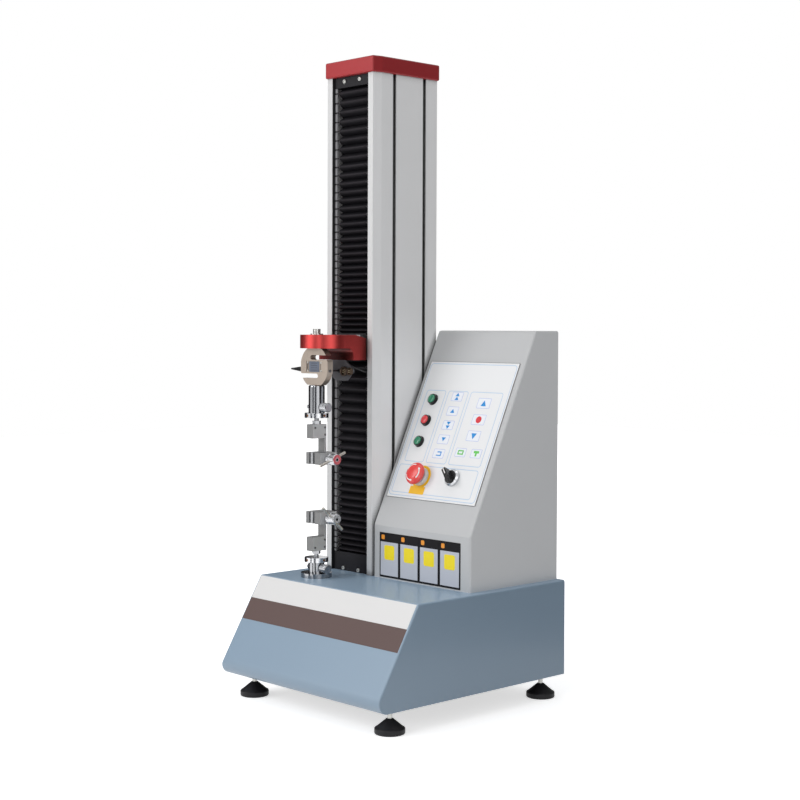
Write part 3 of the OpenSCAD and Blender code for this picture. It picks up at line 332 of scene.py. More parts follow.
# %% Fine grain
def make_grain():
    group, start, end = new_group(
        "fine_grain",
        [("Size", FLOAT, 900.0), ("Stretch", VECTOR, (1, 1, 1))],
        [("Mask", FLOAT), ("Height", FLOAT)],
    )
    place = group.nodes.new("ShaderNodeTexCoord")
    pull = group.nodes.new("ShaderNodeVectorMath")
    pull.operation = "MULTIPLY"
    group.links.new(place.outputs["Object"], pull.inputs[0])
    group.links.new(start.outputs["Stretch"], pull.inputs[1])
    noise = group.nodes.new("ShaderNodeTexNoise")
    noise.inputs["Detail"].default_value = 2
    group.links.new(pull.outputs[0], noise.inputs["Vector"])
    group.links.new(start.outputs["Size"], noise.inputs["Scale"])
    group.links.new(noise.outputs["Fac"], end.inputs["Height"])
    group.links.new(ramp(group, noise.outputs["Fac"], 0.35, 0.65), end.inputs["Mask"])
    return group


grain = make_grain()
print("group", grain.name)


# %% [markdown]
# The edges of painted and machined pieces are a little rounded, so they catch the light and show as thin
# bright lines. Bevels on every edge would be slow to make. The bevel node finds the edges at render time
# instead: there its rounded normal differs from the true one. The colour is painted lighter there, a
# painted highlight.

# %% Edge highlight mask
def make_edge_highlight():
    group, start, end = new_group("edge_highlight_mask", [("Width", FLOAT, 0.0012)], [("Mask", FLOAT)])
    bevel = group.nodes.new("ShaderNodeBevel")
    bevel.samples = 4
    group.links.new(start.outputs["Width"], bevel.inputs["Radius"])
    plain = group.nodes.new("ShaderNodeNewGeometry")
    dot = group.nodes.new("ShaderNodeVectorMath")
    dot.operation = "DOT_PRODUCT"
    group.links.new(bevel.outputs["Normal"], dot.inputs[0])
    group.links.new(plain.outputs["Normal"], dot.inputs[1])
    away = math_node(group, "SUBTRACT", 1.0, dot.outputs["Value"])
    mask = math_node(group, "MULTIPLY", away, 3.0)
    mask = math_node(group, "MINIMUM", mask, 1.0)
    group.links.new(mask, end.inputs["Mask"])
    return group


edge_highlight = make_edge_highlight()
print("group", edge_highlight.name)


# %% [markdown]
# In the photograph some faces to the side or on top are lighter or darker than soft lamps alone make them,
# because the real room mirrors in them. Another lamp would change the front as well. So this group paints
# that light and shade into the colour: a factor, with one value on faces to the sides, and another on faces
# that point up.

# %% Painted light by facing
def make_painted_facing_light():
    group, start, end = new_group(
        "painted_facing_light",
        [("Side", FLOAT, 1.0), ("Top", FLOAT, 1.0)],
        [("Factor", FLOAT)],
    )
    place = group.nodes.new("ShaderNodeTexCoord")
    parts = group.nodes.new("ShaderNodeSeparateXYZ")
    group.links.new(place.outputs["Normal"], parts.inputs[0])
    across = math_node(group, "POWER", math_node(group, "ABSOLUTE", parts.outputs["X"]), 2.0)
    upward = math_node(group, "POWER", math_node(group, "MAXIMUM", parts.outputs["Z"], 0.0), 2.0)
    side = math_node(group, "SUBTRACT", start.outputs["Side"], 1.0)
    top = math_node(group, "SUBTRACT", start.outputs["Top"], 1.0)
    factor = math_node(group, "MULTIPLY_ADD", across, side, 1.0)
    factor = math_node(group, "MULTIPLY_ADD", upward, top, factor)
    group.links.new(factor, end.inputs["Factor"])
    return group


painted_facing_light = make_painted_facing_light()
print("group", painted_facing_light.name)


# %% [markdown]
# ## Finishes
# The machine has four families of finish: baked paint on sheet and castings, machined or anodised metal,
# moulded plastic and rubber, and coated cloth. One function builds them all from the shared effects, so
# that a finish is one call: its colour, its roughness, and what its grain and edges do.

# %% Finish builder
COAT_ROUGH, LEAST_ROUGH, HIGHLIGHT_LIFT = 0.12, 0.02, 0.02


def srgb(r, g, b):
    """A colour as a screen shows it, from 0 to 255, turned into the linear values that a shader needs."""
    def lin(v):
        v /= 255
        return v / 12.92 if v <= 0.04045 else ((v + 0.055) / 1.055) ** 2.4

    return (lin(r), lin(g), lin(b), 1)


def place_group(tree, group, **values):
    node = tree.nodes.new("ShaderNodeGroup")
    node.node_tree = group
    for label, value in values.items():
        node.inputs[label].default_value = value
    return node


def finish(name, color, rough, metal=0.0, vary=0.04, vary_size=9.0, grain_size=900.0, stretch=(1, 1, 1),
           bump=0.1, depth=0.00002, rough_swing=0.08, edge=0.0, edge_width=0.0012, coat=0.0,
           specular=0.5, side=1.0, top=1.0):
    made, tree, body = new_material(name)
    body.inputs["Metallic"].default_value = metal
    body.inputs["Specular IOR Level"].default_value = specular
    if coat:
        body.inputs["Coat Weight"].default_value = coat
        body.inputs["Coat Roughness"].default_value = COAT_ROUGH
    last = place_group(tree, drift, Color=color, Size=vary_size, Amount=vary).outputs["Color"]
    # Painted highlight: the colour is lighter along the edges.
    if edge:
        rim = place_group(tree, edge_highlight, Width=edge_width)
        bright = [min(1, c * (1 + edge) + HIGHLIGHT_LIFT * edge) for c in color[:3]]
        last = mix_colors(tree, rim.outputs["Mask"], last, (*bright, 1))
    # Painted light and shade: faces to the sides and on top get their colour scaled lighter or darker.
    if side != 1 or top != 1:
        tone = place_group(tree, painted_facing_light, Side=side, Top=top)
        facing_lit_color = tree.nodes.new("ShaderNodeVectorMath")
        facing_lit_color.operation = "SCALE"
        tree.links.new(last, facing_lit_color.inputs[0])
        tree.links.new(tone.outputs["Factor"], facing_lit_color.inputs["Scale"])
        last = facing_lit_color.outputs[0]
    tree.links.new(last, body.inputs["Base Color"])
    fine = place_group(tree, grain, Size=grain_size, Stretch=stretch)
    low, high = max(LEAST_ROUGH, rough - rough_swing / 2), min(1, rough + rough_swing / 2)
    tree.links.new(ramp(tree, fine.outputs["Mask"], 0, 1, low, high), body.inputs["Roughness"])
    relief = tree.nodes.new("ShaderNodeBump")
    relief.inputs["Strength"].default_value = bump
    relief.inputs["Distance"].default_value = depth
    tree.links.new(fine.outputs["Height"], relief.inputs["Height"])
    tree.links.new(relief.outputs["Normal"], body.inputs["Normal"])
    return made


print("finish builder ready")

# %% [markdown]
# The base cover and the control box are folded sheet with a powder coat, the cap is red paint and the
# crosshead arm red anodised aluminium. The colours could be taken over from the photograph, but lamps and
# view change them, so each was set by measure until the render agreed.

# %% Paints
# The side and top values paint light and shade into the colour of side and top faces.
base_paint = finish("base_paint", srgb(135, 156, 175), 0.36, grain_size=700, bump=0.25, depth=0.00006,
                    vary=0.02, edge=0.25, coat=0.08, specular=0.6, side=0.9, top=1.36)
box_paint = finish("box_paint", srgb(191, 192, 193), 0.42, grain_size=700, bump=0.25, depth=0.00006,
                   vary=0.02, edge=0.2, side=1.22)
red_paint = finish("red_paint", srgb(172, 48, 52), 0.36, grain_size=500, bump=0.2, depth=0.00005,
                   vary=0.03, edge=0.1, specular=0.3, side=0.75, top=0.4)
red_anodised = finish("red_anodised", srgb(204, 71, 69), 0.34, metal=0.8, grain_size=700, vary=0.02,
                      edge=0.25, side=0.8)
dark_paint = finish("dark_paint", srgb(26, 25, 29), 0.5, grain_size=700, bump=0.25, depth=0.00005,
                    specular=0.2)
grey_paint = finish("grey_paint", srgb(100, 99, 103), 0.42, metal=0.3, grain_size=700, bump=0.2,
                    depth=0.00005, edge=0.3)
print("materials so far", len(bpy.data.materials))

# %% [markdown]
# The metals differ less in colour than in how they were made. Drawn aluminium has lines along the column,
# turned steel has rings, milled steel has lines across it, and blasted steel is matt. So each gets its own
# stretch of the grain and its own roughness, and only a small step in tone.
# %% Metals
# The side values paint light and shade into the colour of faces to the sides.
anodised = finish("anodised", srgb(211, 211, 211), 0.4, metal=0.1, stretch=(1, 1, 0.02),
                  grain_size=1200, bump=0.06, vary=0.02, edge=0.15, side=1.36)
pale_strip = finish("pale_strip", srgb(168, 168, 170), 0.35, metal=0.1, stretch=(1, 1, 0.02), grain_size=900)
turned_steel = finish("turned_steel", srgb(152, 153, 156), 0.16, metal=1.0, stretch=(0.05, 0.05, 1),
                      grain_size=2200, bump=0.04, rough_swing=0.04, edge=0.1, edge_width=0.0006)
satin_chrome = finish("satin_chrome", srgb(196, 197, 200), 0.18, metal=1.0, grain_size=1500, edge=0.3,
                      edge_width=0.0006)
machined_steel = finish("machined_steel", srgb(168, 169, 171), 0.34, metal=0.9, stretch=(1, 0.04, 1),
                        grain_size=1600, edge=0.3, edge_width=0.0006)
zinc = finish("zinc", srgb(190, 190, 186), 0.3, metal=0.95, grain_size=400, vary=0.08, vary_size=60)
dark_steel = finish("dark_steel", srgb(104, 104, 106), 0.34, metal=0.9, grain_size=900, edge=0.6,
                    edge_width=0.0006)
satin_nickel = finish("satin_nickel", srgb(176, 163, 151), 0.33, metal=0.75, grain_size=1100, edge=0.35,
                      edge_width=0.0007)
cast_iron = finish("cast_iron", srgb(66, 66, 68), 0.55, metal=0.6, grain_size=300, bump=0.4, depth=0.0001)
blasted_steel = finish("blasted_steel", srgb(130, 130, 130), 0.4, metal=0.3, grain_size=1300, bump=0.2,
                       edge=0.3, edge_width=0.0006, side=2.5)
tarnished_steel = finish("tarnished_steel", srgb(196, 192, 184), 0.3, metal=0.9, grain_size=900,
                         vary=0.1, vary_size=90)
jaw_steel = finish("jaw_steel", srgb(120, 120, 122), 0.4, metal=0.9, grain_size=900)
brass = finish("brass", srgb(236, 218, 186), 0.3, metal=0.5, grain_size=900, edge=0.4, edge_width=0.0004)
bronze = finish("bronze", srgb(120, 84, 52), 0.42, metal=0.7, grain_size=900)
dark_bronze = finish("dark_bronze", srgb(96, 80, 66), 0.35, metal=0.7, grain_size=900)
ring_red = finish("ring_red", srgb(214, 104, 112), 0.35, metal=0.3, grain_size=900)
ring_silver = finish("ring_silver", srgb(190, 192, 195), 0.3, metal=0.8, grain_size=900)
print("materials so far", len(bpy.data.materials))

# %% [markdown]
# Moulded plastic has a smooth skin with a soft highlight, and rubber a dull one. The lamp lenses are clear
# coloured plastic. They could let light through, but nothing behind them is seen, so a strong colour under
# a clear coat looks the same and renders without noise.

# %% Plastics and rubbers
foot_rubber = finish("foot_rubber", srgb(34, 33, 36), 0.5, grain_size=500, bump=0.3, depth=0.00006,
                     specular=0.3)
cable_rubber = finish("cable_rubber", srgb(24, 24, 26), 0.45, grain_size=600)
panel_film = finish("panel_film", srgb(236, 237, 238), 0.36, grain_size=1400, bump=0.12, vary=0.01)
black_plastic = finish("black_plastic", srgb(20, 20, 22), 0.28, grain_size=800, specular=0.35)
stop_red = finish("stop_red", srgb(232, 74, 72), 0.24, grain_size=700, coat=0.3, vary=0.01, specular=0.3)
stop_grey = finish("stop_grey", srgb(214, 218, 222), 0.3, grain_size=700)
belt_rubber = finish("belt_rubber", srgb(24, 24, 24), 0.6, grain_size=500)
lip_black = finish("lip_black", srgb(20, 20, 23), 0.5, grain_size=500)
lens_green = finish("lens_green", srgb(0, 128, 88), 0.16, grain_size=300, coat=0.8, vary=0.03, vary_size=120)
lens_red = finish("lens_red", srgb(222, 36, 46), 0.16, grain_size=300, coat=0.8, vary=0.03, vary_size=120)
gauge_cover = finish("gauge_cover", srgb(96, 104, 120), 0.4, grain_size=900, vary=0.25, vary_size=160)
print("materials so far", len(bpy.data.materials))

# %% [markdown]
# Labels and the control panel are printed films: a thin matt sheet with flat inks. A picture on one sheet
# would be quicker, but it blurs when the camera comes near. Each ink is a plain finish here, and its shape
# is cut out as a very thin piece further down.

# %% Films and inks
film_white = finish("film_white", srgb(230, 229, 228), 0.4, grain_size=1200, vary=0.01)
film_brown = finish("film_brown", srgb(104, 86, 83), 0.45, grain_size=1200, vary=0.02, specular=0.2)
film_black = finish("film_black", srgb(16, 14, 18), 0.45, grain_size=1200, specular=0.15)
film_pale = finish("film_pale", srgb(192, 195, 204), 0.4, grain_size=1200, vary=0.01)
film_yellow = finish("film_yellow", srgb(246, 192, 20), 0.4, grain_size=1200, vary=0.02)
film_lemon = finish("film_lemon", srgb(250, 226, 0), 0.4, grain_size=1200, vary=0.02)
film_amber = finish("film_amber", srgb(240, 150, 30), 0.4, grain_size=1200, vary=0.02)
film_key = finish("film_key", srgb(238, 241, 247), 0.35, grain_size=1200, vary=0.01)
film_edge = finish("film_edge", srgb(120, 120, 122), 0.4, grain_size=1200)
ink_pale = finish("ink_pale", srgb(192, 211, 232), 0.4)
ink_lilac = finish("ink_lilac", srgb(186, 196, 232), 0.4)
ink_blue = finish("ink_blue", srgb(0, 140, 215), 0.4)
ink_red = finish("ink_red", srgb(215, 30, 45), 0.4)
ink_green = finish("ink_green", srgb(95, 200, 80), 0.4)
ink_white = finish("ink_white", srgb(244, 240, 240), 0.4)
ink_dark = finish("ink_dark", srgb(44, 44, 50), 0.45)
print("materials so far", len(bpy.data.materials))


# %% [markdown]
# The crosshead arm leaves a deep gap beside the column, and the column's slots are narrow. In the photograph
# they are nearly black, because little light finds its way in. More dark cards would darken the outside
# too. The ambient occlusion node measures how closed in a spot is, and the colour darkens with that.

# %% Dark hollows
def shade_hollows(material, reach, power, tone):
    tree = material.node_tree
    color = tree.nodes["Principled BSDF"].inputs["Base Color"]
    closed = tree.nodes.new("ShaderNodeAmbientOcclusion")
    closed.samples = 6
    closed.inputs["Distance"].default_value = reach
    deep = math_node(tree, "POWER", closed.outputs["AO"], power)
    tree.links.new(mix_colors(tree, deep, tone, color.links[0].from_socket), color)


shade_hollows(red_anodised, reach=0.07, power=2.8, tone=(0.01, 0.004, 0.004, 1))
shade_hollows(anodised, reach=0.012, power=1.7, tone=(0.01, 0.01, 0.012, 1))
print("hollows shaded 2")

# %% [markdown]
# The bellows is black coated cloth. Along its outer creases the colour is painted paler, a painted highlight
# where the creases catch the light. A mask painted by hand would have to follow every fold. All outer creases
# stand at the same distance behind the column's front, so a ramp along Y finds them at once.

# %% Coated cloth
PALE_FROM, PALE_TO = 0.0095, 0.0032


def make_cloth():
    cloth = finish("bellows_cloth", srgb(18, 17, 21), 0.6, grain_size=1400, bump=0.35, depth=0.00008,
                   specular=0.2)
    tree = cloth.node_tree
    color = tree.nodes["Principled BSDF"].inputs["Base Color"]
    place = tree.nodes.new("ShaderNodeTexCoord")
    parts = tree.nodes.new("ShaderNodeSeparateXYZ")
    tree.links.new(place.outputs["Object"], parts.inputs[0])
    # Painted highlight: the colour turns paler towards the outer creases.
    crease_highlight = ramp(tree, parts.outputs["Y"], PALE_FROM, PALE_TO)
    tree.links.new(mix_colors(tree, crease_highlight, color.links[0].from_socket, srgb(50, 47, 51)), color)
    return cloth


bellows_cloth = make_cloth()
print("cloth ready")

# %% [markdown]
# ## Dressing the solids
# Each solid gets one finish, from a table that lists the solids by what they are made of. It could be done
# piece by piece, but a table shows at a glance what is alike, and what has been left out. Edges sharper than
# an angle stay crisp, and the facets of round faces are smoothed.

# %% Dress the CAD nodes
SHARP_ANGLE = math.radians(30)
FEET = ("front_left", "front_right", "rear_left", "rear_right")
dress = {
    base_paint: ["base_cover"],
    box_paint: ["control_box", "control_box_rear"],
    red_paint: ["column_cap"],
    red_anodised: ["crosshead_arm"],
    dark_paint: ["bottom_tray", "bellows_brackets", "bellows_end_plates", "servo_motor"],
    grey_paint: ["connector_bracket"],
    anodised: ["column_profile"],
    pale_strip: ["guide_strips"],
    turned_steel: ["upper_adaptor", "lower_adaptor", "upper_pin", "lower_pin", "upper_grip_stud",
                   "lower_grip_stud", "ball_screw", "ball_nut"],
    satin_chrome: ["upper_clamp_screw", "lower_clamp_screw", "selector_body", "upper_lock_ring",
                   "lower_lock_ring"],
    blasted_steel: ["upper_grip_body", "lower_grip_body"],
    tarnished_steel: ["upper_tommy_bar", "lower_tommy_bar"],
    machined_steel: ["machine_plate", "linear_rails", "guide_blocks", "upper_moving_jaw", "lower_moving_jaw",
                     "carriage", "screw_pulley", "motor_pulley"],
    zinc: ["foot_lock_nuts", "load_cell_bolts"] + ["foot_stud_" + foot for foot in FEET],
    satin_nickel: ["load_cell"],
    cast_iron: ["screw_bearings"],
    foot_rubber: ["foot_pad_" + foot for foot in FEET],
    cable_rubber: ["cell_cable"],
    bellows_cloth: ["bellows_upper", "bellows_lower"],
    panel_film: ["control_panel"],
    black_plastic: ["cable_connector", "selector_knob", "pilot_lamps"],
    stop_red: ["stop_button_head"],
    stop_grey: ["stop_button_body", "stop_button_stem"],
    belt_rubber: ["timing_belt"],
}
dressed = set()
for material, names in dress.items():
    for name in names:
        nodes[name].data.set_sharp_from_angle(angle=SHARP_ANGLE)
        slots = nodes[name].data.materials
        slots.clear()
        slots.append(material)
        dressed.add(name)
print("dressed", len(dressed), "left", sorted(set(nodes) - dressed))

# %% [markdown]
# ## Building small pieces
# Thin pieces are drawn in millimetres on a sheet of their own: a flat frame with an origin, a right, an up
# and an outward direction. An outline drawn there becomes a slab with a chamfered rim, a band becomes a
# frame line, and a profile turned about the outward direction becomes a round piece.

# %% Drawing frames
MM = 0.001
COL_X, LOAD_Y = -114.5, -77.5
RIGHTS = {"-y": (1, 0, 0), "+x": (0, 1, 0), "-x": (0, -1, 0)}


def drawing(origin, right, up):
    """A drawing frame: origin, right, up, and the outward direction that is square to both."""
    right, up = Vector(right), Vector(up)
    return (Vector(origin), right, up, right.cross(up))


def facing(axis, origin):
    """An upright drawing frame at a point, looking out along -Y, +X or -X."""
    return drawing(origin, RIGHTS[axis], (0, 0, 1))


def spot(at, x, y, out=0.0):
    return (at[0] + at[1] * x + at[2] * y + at[3] * out) * MM


BOX_FRONT = facing("-y", (0, -1.2, 0))
BOX_SLOPE = drawing((0, -1.2, 293.7), (1, 0, 0), (0, 0.42316, 0.90605))
BASE_SLOPE = drawing((0, -214.55, 66.43), (1, 0, 0), (0, 0.5105, 0.8599))
print("frames for the box front, box slope and base slope")


# %% Outlines
def circle(x, y, r, count=40):
    angles = [math.tau * i / count for i in range(count)]
    return [(x + r * math.cos(angle), y + r * math.sin(angle)) for angle in angles]


def rounded(x0, y0, x1, y1, r, count=5):
    made = []
    for x, y, turn in ((x1 - r, y0 + r, 3), (x1 - r, y1 - r, 0), (x0 + r, y1 - r, 1), (x0 + r, y0 + r, 2)):
        for i in range(count + 1):
            angle = (turn + i / count) * math.pi / 2
            made.append((x + r * math.cos(angle), y + r * math.sin(angle)))
    return made


def shrunk(outline, by):
    """The outline moved inwards, with its corners mitred."""
    made = []
    for i, point in enumerate(outline):
        here, before, after = Vector(point), Vector(outline[i - 1]), Vector(outline[(i + 1) % len(outline)])
        first, second = (here - before).normalized(), (after - here).normalized()
        n1, n2 = Vector((-first.y, first.x)), Vector((-second.y, second.x))
        made.append(tuple(here + (n1 + n2) * (by / max(0.3, 1 + n1.dot(n2)))))
    return made


# %% Shapes
def loops(rings, closed_ends=True):
    """Joins rings of equal length into a skin, and closes its two ends."""
    verts = [point for ring in rings for point in ring]
    n = len(rings[0])
    faces = [(a * n + i, a * n + (i + 1) % n, (a + 1) * n + (i + 1) % n, (a + 1) * n + i)
             for a in range(len(rings) - 1) for i in range(n)]
    if closed_ends:
        faces += [tuple(reversed(range(n))), tuple(range(len(verts) - n, len(verts)))]
    return verts, faces


def slab(at, outline, low, high, chamfer=0.15):
    top = shrunk(outline, chamfer)
    return loops([[spot(at, x, y, o) for x, y in ring]
                  for ring, o in ((outline, low), (outline, high - chamfer), (top, high))])


def band(at, outline, width, low, high):
    inner = shrunk(outline, width)
    order = ((outline, low), (outline, high), (inner, high), (inner, low), (outline, low))
    return loops([[spot(at, x, y, o) for x, y in ring] for ring, o in order], closed_ends=False)


def lathe(at, x, y, profile, count=48):
    """A profile of (radius, height) turned about the frame's outward direction."""
    return loops([[spot(at, px, py, o) for px, py in circle(x, y, max(r, 0.01), count)] for r, o in profile])


def sweep(points, radius, count=14, radii=None):
    """A round rod along points in millimetres."""
    points = [Vector(p) for p in points]
    side = Vector((0.3, 0.5, 0.81)).normalized()
    rings = []
    for i, point in enumerate(points):
        way = (points[min(i + 1, len(points) - 1)] - points[max(i - 1, 0)]).normalized()
        side = (side - way * side.dot(way)).normalized()
        other = way.cross(side)
        r = radii[i] if radii else radius
        ring = []
        for k in range(count):
            turn = math.tau * k / count
            ring.append((point + (side * math.cos(turn) + other * math.sin(turn)) * r) * MM)
        rings.append(ring)
    return loops(rings)


def screw(at, x, y, r, high, socket, base=-0.2):
    """A round screw head with a hexagon socket."""
    def ring(size, out, hexed):
        made = []
        for i in range(36):
            angle = math.tau * i / 36
            reach = size / math.cos((angle + math.pi / 6) % (math.pi / 3) - math.pi / 6) if hexed else size
            made.append(spot(at, x + reach * math.cos(angle), y + reach * math.sin(angle), out))
        return made

    return loops([ring(r, base, False), ring(r, high * 0.8, False), ring(r * 0.9, high, False),
                  ring(socket, high, True), ring(socket, high * 0.35, True), ring(0.02, high * 0.3, False)])


def join(*shapes):
    verts, faces = [], []
    for more_verts, more_faces in shapes:
        faces += [tuple(i + len(verts) for i in face) for face in more_faces]
        verts += more_verts
    return verts, faces


# %% Pieces
def piece(name, shape, material, body=None, angle=35):
    """A piece of the scene. Edges sharper than the angle, in degrees, stay crisp."""
    mesh = bpy.data.meshes.new(name)
    mesh.from_pydata([tuple(v) for v in shape[0]], [], shape[1])
    work = bmesh.new()
    work.from_mesh(mesh)
    bmesh.ops.recalc_face_normals(work, faces=work.faces)
    work.to_mesh(mesh)
    work.free()
    mesh.materials.append(material)
    mesh.polygons.foreach_set("use_smooth", [True] * len(mesh.polygons))
    mesh.set_sharp_from_angle(angle=math.radians(angle))
    made = new_object(name, mesh)
    if body:
        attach(made, body)
    return made


print("shape makers: slab, band, lathe, sweep, screw")


# %% [markdown]
# ## Bellows
# Each bellows is coated cloth, folded to and fro. It stretches with the crosshead, and every fold is a piece
# of its own. A cloth simulation would need many steps and fold as it likes, but these creases are pressed in,
# so each fold is shaped in code: two flanks, a rounded crease with a little sag, and a thin tab at each end,
# which keeps it in front of the guide strips.

# %% One fold
RIDGE_Y, VALLEY_Y, CLOTH = 3.5, 15.5, 0.6
HALF_WIDE, FLARE, SAG = 34.5, 4.0, 0.35
CREASE = 0.003
TAB_IN, TAB_OUT, TAB_Y = 36.5, 50.5, 4.7


def fold_shape(top, ridge, bottom):
    rows, cols = 12, 8
    skins = []
    for back in (0, CLOTH):
        skin = []
        for i in range(rows + 1):
            f = i / rows
            rise = max(0.0, (1 - math.sqrt((2 * f - 1) ** 2 + CREASE)) / (1 - math.sqrt(CREASE)))
            y = VALLEY_Y + (RIDGE_Y - VALLEY_Y) * rise
            z = top + (ridge - top) * 2 * f if f < 0.5 else ridge + (bottom - ridge) * (2 * f - 1)
            half = HALF_WIDE + min(FLARE, max(0.0, y - RIDGE_Y))
            for j in range(cols + 1):
                across = 2 * j / cols - 1
                sag = SAG * rise * (1 - across * across)
                skin.append(Vector((COL_X + half * across, y + back, z - sag)) * MM)
        skins.append(skin)
    n, wide = len(skins[0]), cols + 1
    verts = skins[0] + skins[1]
    faces = []
    for i in range(rows):
        for j in range(cols):
            a = i * wide + j
            quad = (a, a + 1, a + wide + 1, a + wide)
            faces += [quad, tuple(v + n for v in reversed(quad))]
    rim = list(range(wide)) + [i * wide + cols for i in range(1, rows + 1)]
    rim += [rows * wide + j for j in range(cols - 1, -1, -1)] + [i * wide for i in range(rows - 1, 0, -1)]
    for here, after in zip(rim, rim[1:] + rim[:1]):
        faces.append((here, after, after + n, here + n))
    return verts, faces


def tab_shapes(ridge):
    made = []
    for side in (-1, 1):
        x0, x1 = sorted((COL_X + side * TAB_IN, COL_X + side * TAB_OUT))
        outline = rounded(x0, ridge - 1.3, x1, ridge + 1.1, 0.5, 2)
        made.append(slab(facing("-y", (0, TAB_Y, 0)), outline, 0, 0.7, 0.1))
    return made


print("fold depth", VALLEY_Y - RIDGE_Y, "mm")


# %% [markdown]
# Neighbouring folds share a rim. The folds lie a little closer together towards the bottom, where the weight
# of the cloth gathers them.


def add_bellows(node, low, high, folds, gather):
    def height(k):
        t = k / (2 * folds)
        return high - (high - low) * (t + gather * t * (1 - t))

    lengths = []
    for i in range(folds):
        top, ridge, bottom = height(2 * i), height(2 * i + 1), height(2 * i + 2)
        name = f"{node}_fold_{i + 1:02d}"
        shape = join(fold_shape(top, ridge, bottom), *tab_shapes(ridge))
        fold = piece(name, shape, bellows_cloth, angle=60)
        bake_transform(fold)
        cloth = sum(math.hypot(VALLEY_Y - RIDGE_Y, z) for z in (top - ridge, ridge - bottom))
        if i == 0:
            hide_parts(node)
        lengths.append(cloth)
    print(node, folds, "folds of", round(min(lengths), 1), "to", round(max(lengths), 1), "mm,",
          round(sum(lengths)), "mm in all")


add_bellows("bellows_upper", 627, 1061.5, 32, 0.28)
add_bellows("bellows_lower", 236, 577, 23, 0.35)

# %% [markdown]
# ## Column and base details
# The inner faces of the column's front edges are covered by thin black strips, which make them dark, and the
# two brackets that hold the bellows' ends have screws. The strips could be part of the column, but as thin
# slabs of their own they get their own finish and a chamfer.

# %% Column details
LIP_X = 47.5
STRIP_LOW, STRIP_HIGH = 203.3, 1079.7


def add_column_details():
    # Thin black strips on the inner faces of the front edges make those faces dark.
    dark_strips = []
    for axis, side, y0, y1 in (("+x", -1, -1.3, 4.7), ("-x", 1, -4.7, 1.3)):
        at = facing(axis, (COL_X + side * LIP_X, 0, 0))
        dark_strips.append(slab(at, rounded(y0, STRIP_LOW, y1, STRIP_HIGH, 0.3, 2), 0, 0.45, 0.15))
    piece("lip_dark_strips", join(*dark_strips), lip_black, "frame_body")
    front = facing("-y", (0, 3.5, 0))
    heads = [screw(front, COL_X + x, z, 3.6, 2.2, 1.5) for z in (1072.0, 207.6) for x in (-20, 20)]
    piece("bracket_screws", join(*heads), zinc, "frame_body")
    print("dark_strips", len(dark_strips), "bracket screws", len(heads))


add_column_details()

# %% [markdown]
# A two-colour film covers the upper half of the base's slope: white above, brown below. It could be painted
# on the cover by a mask along its slope. A separate film shows its own thin rim and its duller skin.

# %% Base films
def add_base_films():
    half, length = 196.5, 158.8
    white = rounded(-half, length * 0.727, half, length - 1.6, 0.8, 3)
    brown = rounded(-half, length * 0.477, half, length * 0.7265, 0.8, 3)
    piece("front_film_white", slab(BASE_SLOPE, white, -0.3, 0.3, 0.12), film_white, "frame_body")
    piece("front_film_brown", slab(BASE_SLOPE, brown, -0.3, 0.3, 0.12), film_brown, "frame_body")
    print("front films 2")


add_base_films()

# %% [markdown]
# Four label plates stand side by side on the upright part of the box's front: a black plate, a pale field,
# a lemon square with round corners, and a small amber square above. One picture for all four would be
# quicker. As thin slabs the plates keep crisp rims, and the light catches them one by one.

# %% Legend plates
def add_legend_plates():
    edges_x = (-34.2, 15.5, 63.8, 112.0, 161.9)
    backs, tiles, marks, dots = [], [], [], []
    for left, right in zip(edges_x, edges_x[1:]):
        x0, x1 = left + 0.15, right - 0.15
        middle = (x0 + x1) / 2
        backs.append(slab(BOX_FRONT, rounded(x0, 205, x1, 282.5, 0.8, 3), -0.1, 0.6))
        tiles.append(slab(BOX_FRONT, rounded(x0 + 2.7, 208.5, x1 - 2.9, 266.5, 0.6, 3), 0.5, 0.75, 0.08))
        marks.append(slab(BOX_FRONT, rounded(middle - 12.5, 236, middle + 12.5, 261, 3.5, 5), 0.7, 0.9, 0.08))
        dots.append(slab(BOX_FRONT, rounded(x0 + 5, 270.5, x0 + 13, 278.5, 2, 4), 0.5, 0.75, 0.08))
    piece("legend_plates", join(*backs), film_black, "frame_body")
    piece("legend_tiles", join(*tiles), film_pale, "frame_body")
    piece("legend_marks", join(*marks), film_lemon, "frame_body")
    piece("legend_dots", join(*dots), film_amber, "frame_body")
    print("legend plates", len(backs))


add_legend_plates()

# %% [markdown]
# ## Control panel
# The panel is one printed film with keys under it. Its frames are thin bands, its keys pale tiles with an
# arrow or a plain shape in colour. A picture on the film would do for one size of render; cut shapes stay
# crisp at any size. Each stands 0.1 to 0.3 mm above the film, so that no two surfaces lie in one plane.

# %% Panel frames and keys
FILM = 1.0


def arrow(x, y, wide, high, up=True):
    tip = high / 2 if up else -high / 2
    points = [(x - wide / 2, y - tip), (x + wide / 2, y - tip), (x, y + tip)]
    return points if up else points[::-1]


